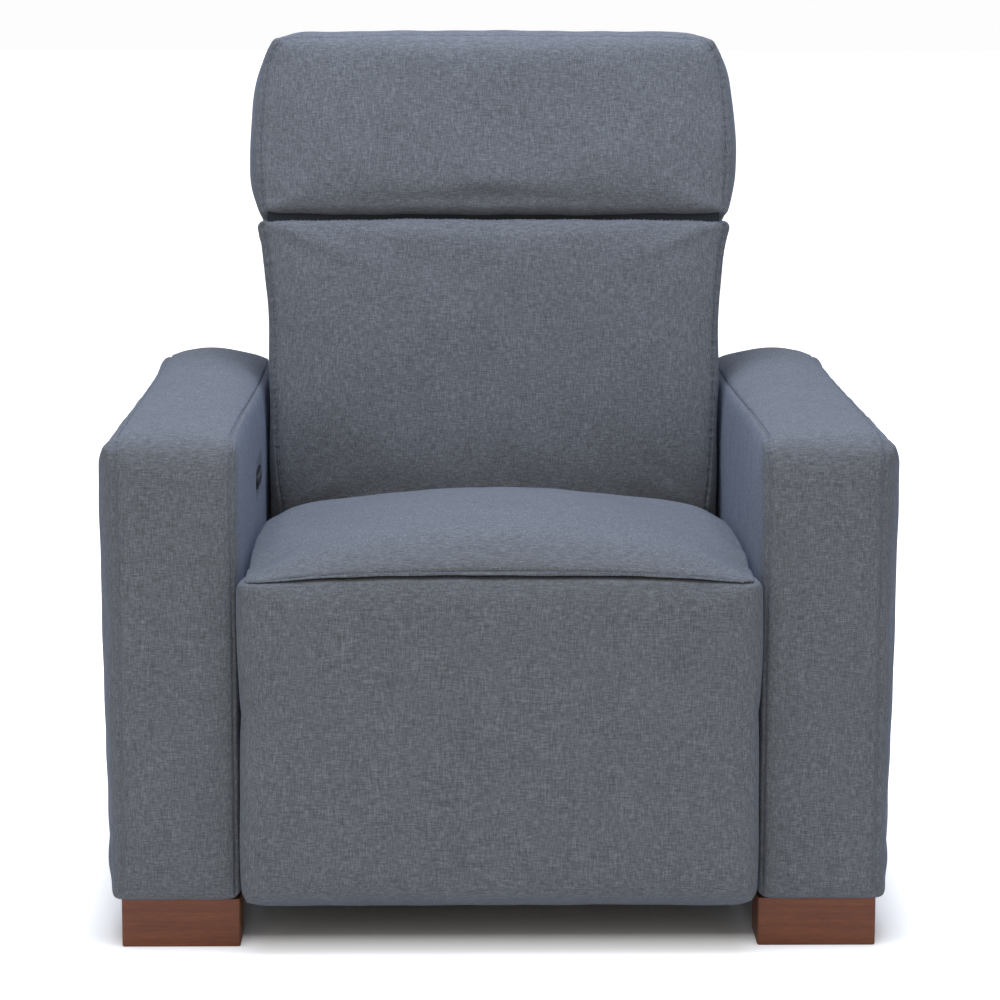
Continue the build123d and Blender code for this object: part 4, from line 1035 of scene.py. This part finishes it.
# %% Stitches on the back, then everything leans
forwards, upwards = (0, -1, 0), (0, 0, 1)
back_rows = [
    stitch_rows("back_stitches", back_pad, [(back_path, forwards)]),
    stitch_rows("headrest_stitches", head_pad, [(head_path, forwards)]),
    stitch_rows("shell_stitches", shell, [(shell_path, upwards)]),
]
for piece in (back_pad, head_pad, shell, gusset, *back_rows):
    piece.data.transform(lean_back)
    piece.data.update()
for piece in (back_pad, shell, back_rows[0], back_rows[2]):
    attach(piece, "back")
for piece in (head_pad, back_rows[1]):
    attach(piece, "headrest")
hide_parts("back_cushion")
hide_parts("headrest_cushion")
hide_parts("back_shell")
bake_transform(gusset)
print("the back leans by", round(math.degrees(lean)), "degrees")

# %% [markdown]
# The rear panel between the arms is a board wrapped in the same fabric. The inlet passes
# through it, so it has a real hole.

# %% The rear panel
board_roll = 6
board_net = 5 * MM
board_low, board_high = (tuple(v / MM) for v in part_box("rear_panel"))
rear_cover = foam_block("rear_panel_cover", board_low, board_high, net=board_net)
shape = points_of(rear_cover)
board_edges = [((1, 2), (-1, 1), board_roll), ((1, 2), (-1, -1), board_roll)]
round_edges(shape, (board_low, board_high), board_edges)
put_points(rear_cover, shape)
finish_cover(rear_cover)

# %% The inlet's hole in it
hole_radius, hole_depth, hole_sides = 9.3 * MM, 80 * MM, 48
inlet_low, inlet_high = (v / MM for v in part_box("power_inlet"))
inlet_x, inlet_z = (inlet_low.x + inlet_high.x) / 2, (inlet_low.z + inlet_high.z) / 2
bpy.ops.object.select_all(action="DESELECT")
bpy.ops.mesh.primitive_cylinder_add(
    vertices=hole_sides, radius=hole_radius, depth=hole_depth, rotation=(math.pi / 2, 0, 0),
    location=(inlet_x * MM, board_high[1] * MM, inlet_z * MM),
)
drill = bpy.context.object
apply_modifier(rear_cover, "BOOLEAN", operation="DIFFERENCE", object=drill, solver="EXACT")
bpy.data.objects.remove(drill)
shade_smooth(rear_cover)
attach(rear_cover, "base")
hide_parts("rear_panel")
print("rear panel:", len(rear_cover.data.polygons), "faces")

# %% [markdown]
# The fabric is a plain weave of blue-grey yarns that were dyed before spinning, so light and
# dark fibres mix in every thread. Thick and thin places in the yarn show as short streaks along
# both thread directions. Three families of stretched noise, one along each axis, give those
# streaks without any unwrapping: on a face each family counts by how far its threads lie in
# that face, which the normal tells. The real yarns are about half a millimetre apart; they are
# drawn 1.1 mm apart, the finest that the picture can show.


# %% Textures that several finishes use
def noise(tree, place, size, detail, **more):
    """Soft noise with patches of one size in metres."""
    inputs = {"Vector": place, "Scale": 1 / size, "Detail": detail, **more}
    return add(tree, "ShaderNodeTexNoise", inputs).outputs["Fac"]


def streaks(tree, place, axis, width, length, detail, **more):
    """Noise drawn out along one axis, with a width and a length in metres."""
    scale = [1 / width] * 3
    scale[axis] = 1 / length
    drawn = add(tree, "ShaderNodeMapping", {"Vector": place, "Scale": scale}).outputs[0]
    return noise(tree, drawn, 1.0, detail, **more)


def mixed(tree, factor, dark, light):
    """A colour between two hex colours."""
    inputs = {0: factor, 6: linear(dark), 7: linear(light)}
    return add(tree, "ShaderNodeMix", inputs, data_type="RGBA").outputs[2]


def bump(tree, height, strength, depth):
    """A surface roughened by a texture, with a depth in metres."""
    inputs = {"Height": height, "Strength": strength, "Distance": depth}
    return add(tree, "ShaderNodeBump", inputs).outputs[0]


# %% The upholstery weave
yarn, slub = 1.1 * MM, 9 * MM
weave_contrast, noise_mean = 1.25, 0.5
dark_yarn, middle_yarn, light_yarn = (0.15, "#56585a"), (0.5, "#696b6e"), (0.9, "#848689")


def woven(name, turned=0.0):
    """Heathered blue-grey plain weave. turned is the lean of the piece, so threads follow it."""
    material, tree, shader, where = new_material(name)
    leaned = {"Rotation": (turned, 0, 0)}
    place = add(tree, "ShaderNodeMapping", {"Vector": where["Object"], **leaned}).outputs[0]
    facing = add(tree, "ShaderNodeMapping", {"Vector": where["Normal"], **leaned}).outputs[0]
    normal = add(tree, "ShaderNodeSeparateXYZ", {"Vector": facing}).outputs
    total = 0.0
    for axis in range(3):
        thread = streaks(tree, place, axis, yarn, slub, detail=2.0, Roughness=0.6)
        lying = maths(tree, "SUBTRACT", 1.0, maths(tree, "MULTIPLY", normal[axis], normal[axis]))
        share = maths(tree, "MULTIPLY", maths(tree, "SUBTRACT", thread, noise_mean), lying)
        total = maths(tree, "ADD", total, share)
    shaded = maths(tree, "MULTIPLY_ADD", total, weave_contrast, noise_mean)
    ramp = add(tree, "ShaderNodeValToRGB", {"Fac": shaded})
    stops = ramp.color_ramp.elements
    for number, (position, colour) in enumerate((dark_yarn, light_yarn)):
        stops[number].position = position
        stops[number].color = linear(colour)
    stops.new(middle_yarn[0]).color = linear(middle_yarn[1])
    tone = ranged(tree, noise(tree, place, size=90 * MM, detail=3.0), low=0.93, high=1.07)
    connect(tree, shader, {
        "Base Color": vectors(tree, "SCALE", {0: ramp.outputs["Color"], "Scale": tone}),
        "Normal": bump(tree, total, strength=0.55, depth=0.7 * MM),
        "Roughness": 0.93,
        "Specular IOR Level": 0.25,
        "Sheen Weight": 0.2,
        "Sheen Roughness": 0.4,
        "Sheen Tint": linear("#b4c6ea"),
    })
    return material


upright_weave = woven("heathered_plain_weave")
leaning_weave = woven("heathered_plain_weave_on_the_back", lean)
covers = [(piece, upright_weave) for piece in (arm, arm_right, seat, panel, rear_cover)]
covers += [(piece, leaning_weave) for piece in (back_pad, head_pad, shell)]
for piece, fabric in covers:
    piece.data.materials.clear()
    piece.data.materials.append(fabric)
print("fabric on", len(covers), "pieces")


# %% Polyester sewing thread, and black lining in the crease whose near-black is painted shade
def fine_mottle(name, dark, light, size, roughness):
    """Thread or loops too fine to see one by one, as a fine mottle of two tones."""
    material, tree, shader, where = new_material(name)
    mottle = noise(tree, where["Object"], size, detail=1.0)
    connect(tree, shader, {"Base Color": mixed(tree, mottle, dark, light), "Roughness": roughness})
    return material


# The lining's near-black is painted shade: it stands in for the shadow in the crease between the back
# cushion and the headrest.
crease_shade_lining = fine_mottle("black_lining_painted_as_crease_shade", "#15171b", "#26292f", size=1.2 * MM, roughness=0.95)
gusset.data.materials.append(crease_shade_lining)
polyester = fine_mottle("twisted_polyester_thread", "#4c5460", "#6d7683", size=0.8 * MM, roughness=0.55)
threads = (arm_thread, arm_thread_right, seat_thread, *back_rows)
for thread in threads:
    thread.data.materials.append(polyester)
print("thread on", len(threads), "rows of stitches")

# %% [markdown]
# Wood. The feet are solid hardwood with a dark red-brown stain under a thin satin lacquer, and
# the hidden frames are pale, rough-sawn softwood. Both use the same idea: rings seen as
# stretched noise along the grain, and fine pores on top.

# %% Wood with its grain along X
grain_axis, ring_stretch = 0, 22
pore_width, pore_length = 0.7 * MM, 12 * MM


def wood(name, dark, light, ring_width, roughness, coat):
    """Wood sawn along X: bands of growth rings drawn out along the grain, and fine pores."""
    material, tree, shader, where = new_material(name)
    place, ring_length = where["Object"], ring_width * ring_stretch
    rings = streaks(tree, place, grain_axis, ring_width, ring_length, detail=4.0, Distortion=0.6)
    pores = streaks(tree, place, grain_axis, pore_width, pore_length, detail=2.0)
    base = mixed(tree, ranged(tree, rings, 0.0, 1.0, from_low=0.3, from_high=0.7), dark, light)
    shade = ranged(tree, pores, low=0.78, high=1.08, from_low=0.35, from_high=0.65)
    connect(tree, shader, {
        "Base Color": vectors(tree, "SCALE", {0: base, "Scale": shade}),
        "Normal": bump(tree, pores, strength=0.25, depth=0.2 * MM),
        "Roughness": roughness,
        "Coat Weight": coat,
        "Coat Roughness": 0.3,
    })
    return material


# %% [markdown]
# Metals and plastics. The linkage is pressed steel with a black powder coat, which has a fine
# orange peel. Springs, bolts and hinges are zinc plated, with a faint cloudy spangle. The
# actuator channels are extruded aluminium with die lines along their length. Housings and
# buttons are moulded ABS, with the fine spark-eroded grain of the mould.


# %% Powder-coated steel
def powder_coat():
    """Black polyester powder coat: satin, with an orange peel of about 1.5 mm."""
    material, tree, shader, where = new_material("black_powder_coated_steel")
    peel = noise(tree, where["Object"], size=1.5 * MM, detail=2.0)
    dust = noise(tree, where["Object"], size=40 * MM, detail=4.0)
    connect(tree, shader, {
        "Base Color": mixed(tree, dust, "#16171a", "#2a2b2e"),
        "Roughness": ranged(tree, dust, low=0.36, high=0.52),
        "Normal": bump(tree, peel, strength=0.3, depth=0.15 * MM),
    })
    return material


# %% Zinc-plated steel and extruded aluminium
def plated(name, dark, light, patch, roughness):
    """Bright plated metal with soft patches of tone."""
    material, tree, shader, where = new_material(name)
    cells = {"Vector": where["Object"], "Scale": 1 / patch}
    spangle = add(tree, "ShaderNodeTexVoronoi", cells).outputs["Color"]
    tone = add(tree, "ShaderNodeSeparateXYZ", {"Vector": spangle}).outputs[0]
    connect(tree, shader, {
        "Base Color": mixed(tree, tone, dark, light),
        "Roughness": ranged(tree, tone, roughness, roughness + 0.12),
        "Metallic": 1.0,
    })
    return material


def extruded():
    """Mill-finish aluminium with die lines along Y, about 0.8 mm apart."""
    material, tree, shader, where = new_material("extruded_aluminium")
    die = streaks(tree, where["Object"], axis=1, width=0.8 * MM, length=300 * MM, detail=2.0)
    connect(tree, shader, {
        "Base Color": mixed(tree, die, "#a9acb0", "#cfd2d5"),
        "Normal": bump(tree, die, strength=0.2, depth=0.1 * MM),
        "Metallic": 1.0,
        "Roughness": 0.34,
    })
    return material


# %% Moulded plastic
def moulded(name, dark, light, grain, roughness):
    """Moulded ABS with the mould's spark-eroded grain."""
    material, tree, shader, where = new_material(name)
    erosion = noise(tree, where["Object"], grain, detail=3.0, Roughness=0.7)
    cloud = noise(tree, where["Object"], size=25 * MM, detail=2.0)
    connect(tree, shader, {
        "Base Color": mixed(tree, cloud, dark, light),
        "Normal": bump(tree, erosion, strength=0.35, depth=0.12 * MM),
        "Roughness": ranged(tree, erosion, roughness - 0.06, roughness + 0.08),
    })
    return material


# %% Elastic webbing, with ribs across its length
rib_pitch = 2 * MM
wave_turn = 6.3


def elastic_webbing():
    """Woven rubber-and-yarn webbing with ribs 2 mm apart."""
    material, tree, shader, where = new_material("woven_elastic_webbing")
    inputs = {"Vector": where["Object"], "Scale": 1 / rib_pitch / wave_turn, "Distortion": 0.6}
    ribs = add(tree, "ShaderNodeTexWave", inputs, bands_direction="X").outputs["Fac"]
    connect(tree, shader, {
        "Base Color": mixed(tree, ribs, "#2b2c30", "#55565c"),
        "Normal": bump(tree, ribs, strength=0.5, depth=0.5 * MM),
        "Roughness": 0.85,
    })
    return material


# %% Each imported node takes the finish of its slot
finishes = {
    "foot_wood": wood(
        "stained_cherry_feet", "#703718", "#804621", ring_width=7 * MM, roughness=0.5, coat=0.2
    ),
    "frame_wood": wood(
        "sawn_softwood", "#b58a57", "#dcb887", ring_width=9 * MM, roughness=0.75, coat=0.0
    ),
    "black_steel": powder_coat(),
    "zinc_steel": plated("zinc_plated_steel", "#8f949a", "#c3c7cb", patch=3 * MM, roughness=0.28),
    "rail_aluminium": extruded(),
    "motor_plastic": moulded("moulded_abs_housing", "#1d1e21", "#2b2c30", grain=0.8 * MM, roughness=0.5),
    "black_plastic": moulded("moulded_abs_plate", "#101114", "#1c1d20", grain=0.6 * MM, roughness=0.38),
    "button_plastic": moulded("moulded_abs_buttons", "#34363b", "#44474d", grain=0.5 * MM, roughness=0.42),
    "webbing": elastic_webbing(),
}
slots = {row["node"]: row["material_slot"] for row in frame["record"]["subparts"]}
dressed = 0
for node, piece in nodes.items():
    finish = finishes.get(slots.get(node))
    if finish and not piece.hide_render:
        piece.data.materials.clear()
        piece.data.materials.append(finish)
        dressed += 1
print("finishes on", dressed, "packed nodes")

# %% Finish: nothing is left selected
bpy.ops.object.select_all(action="DESELECT")
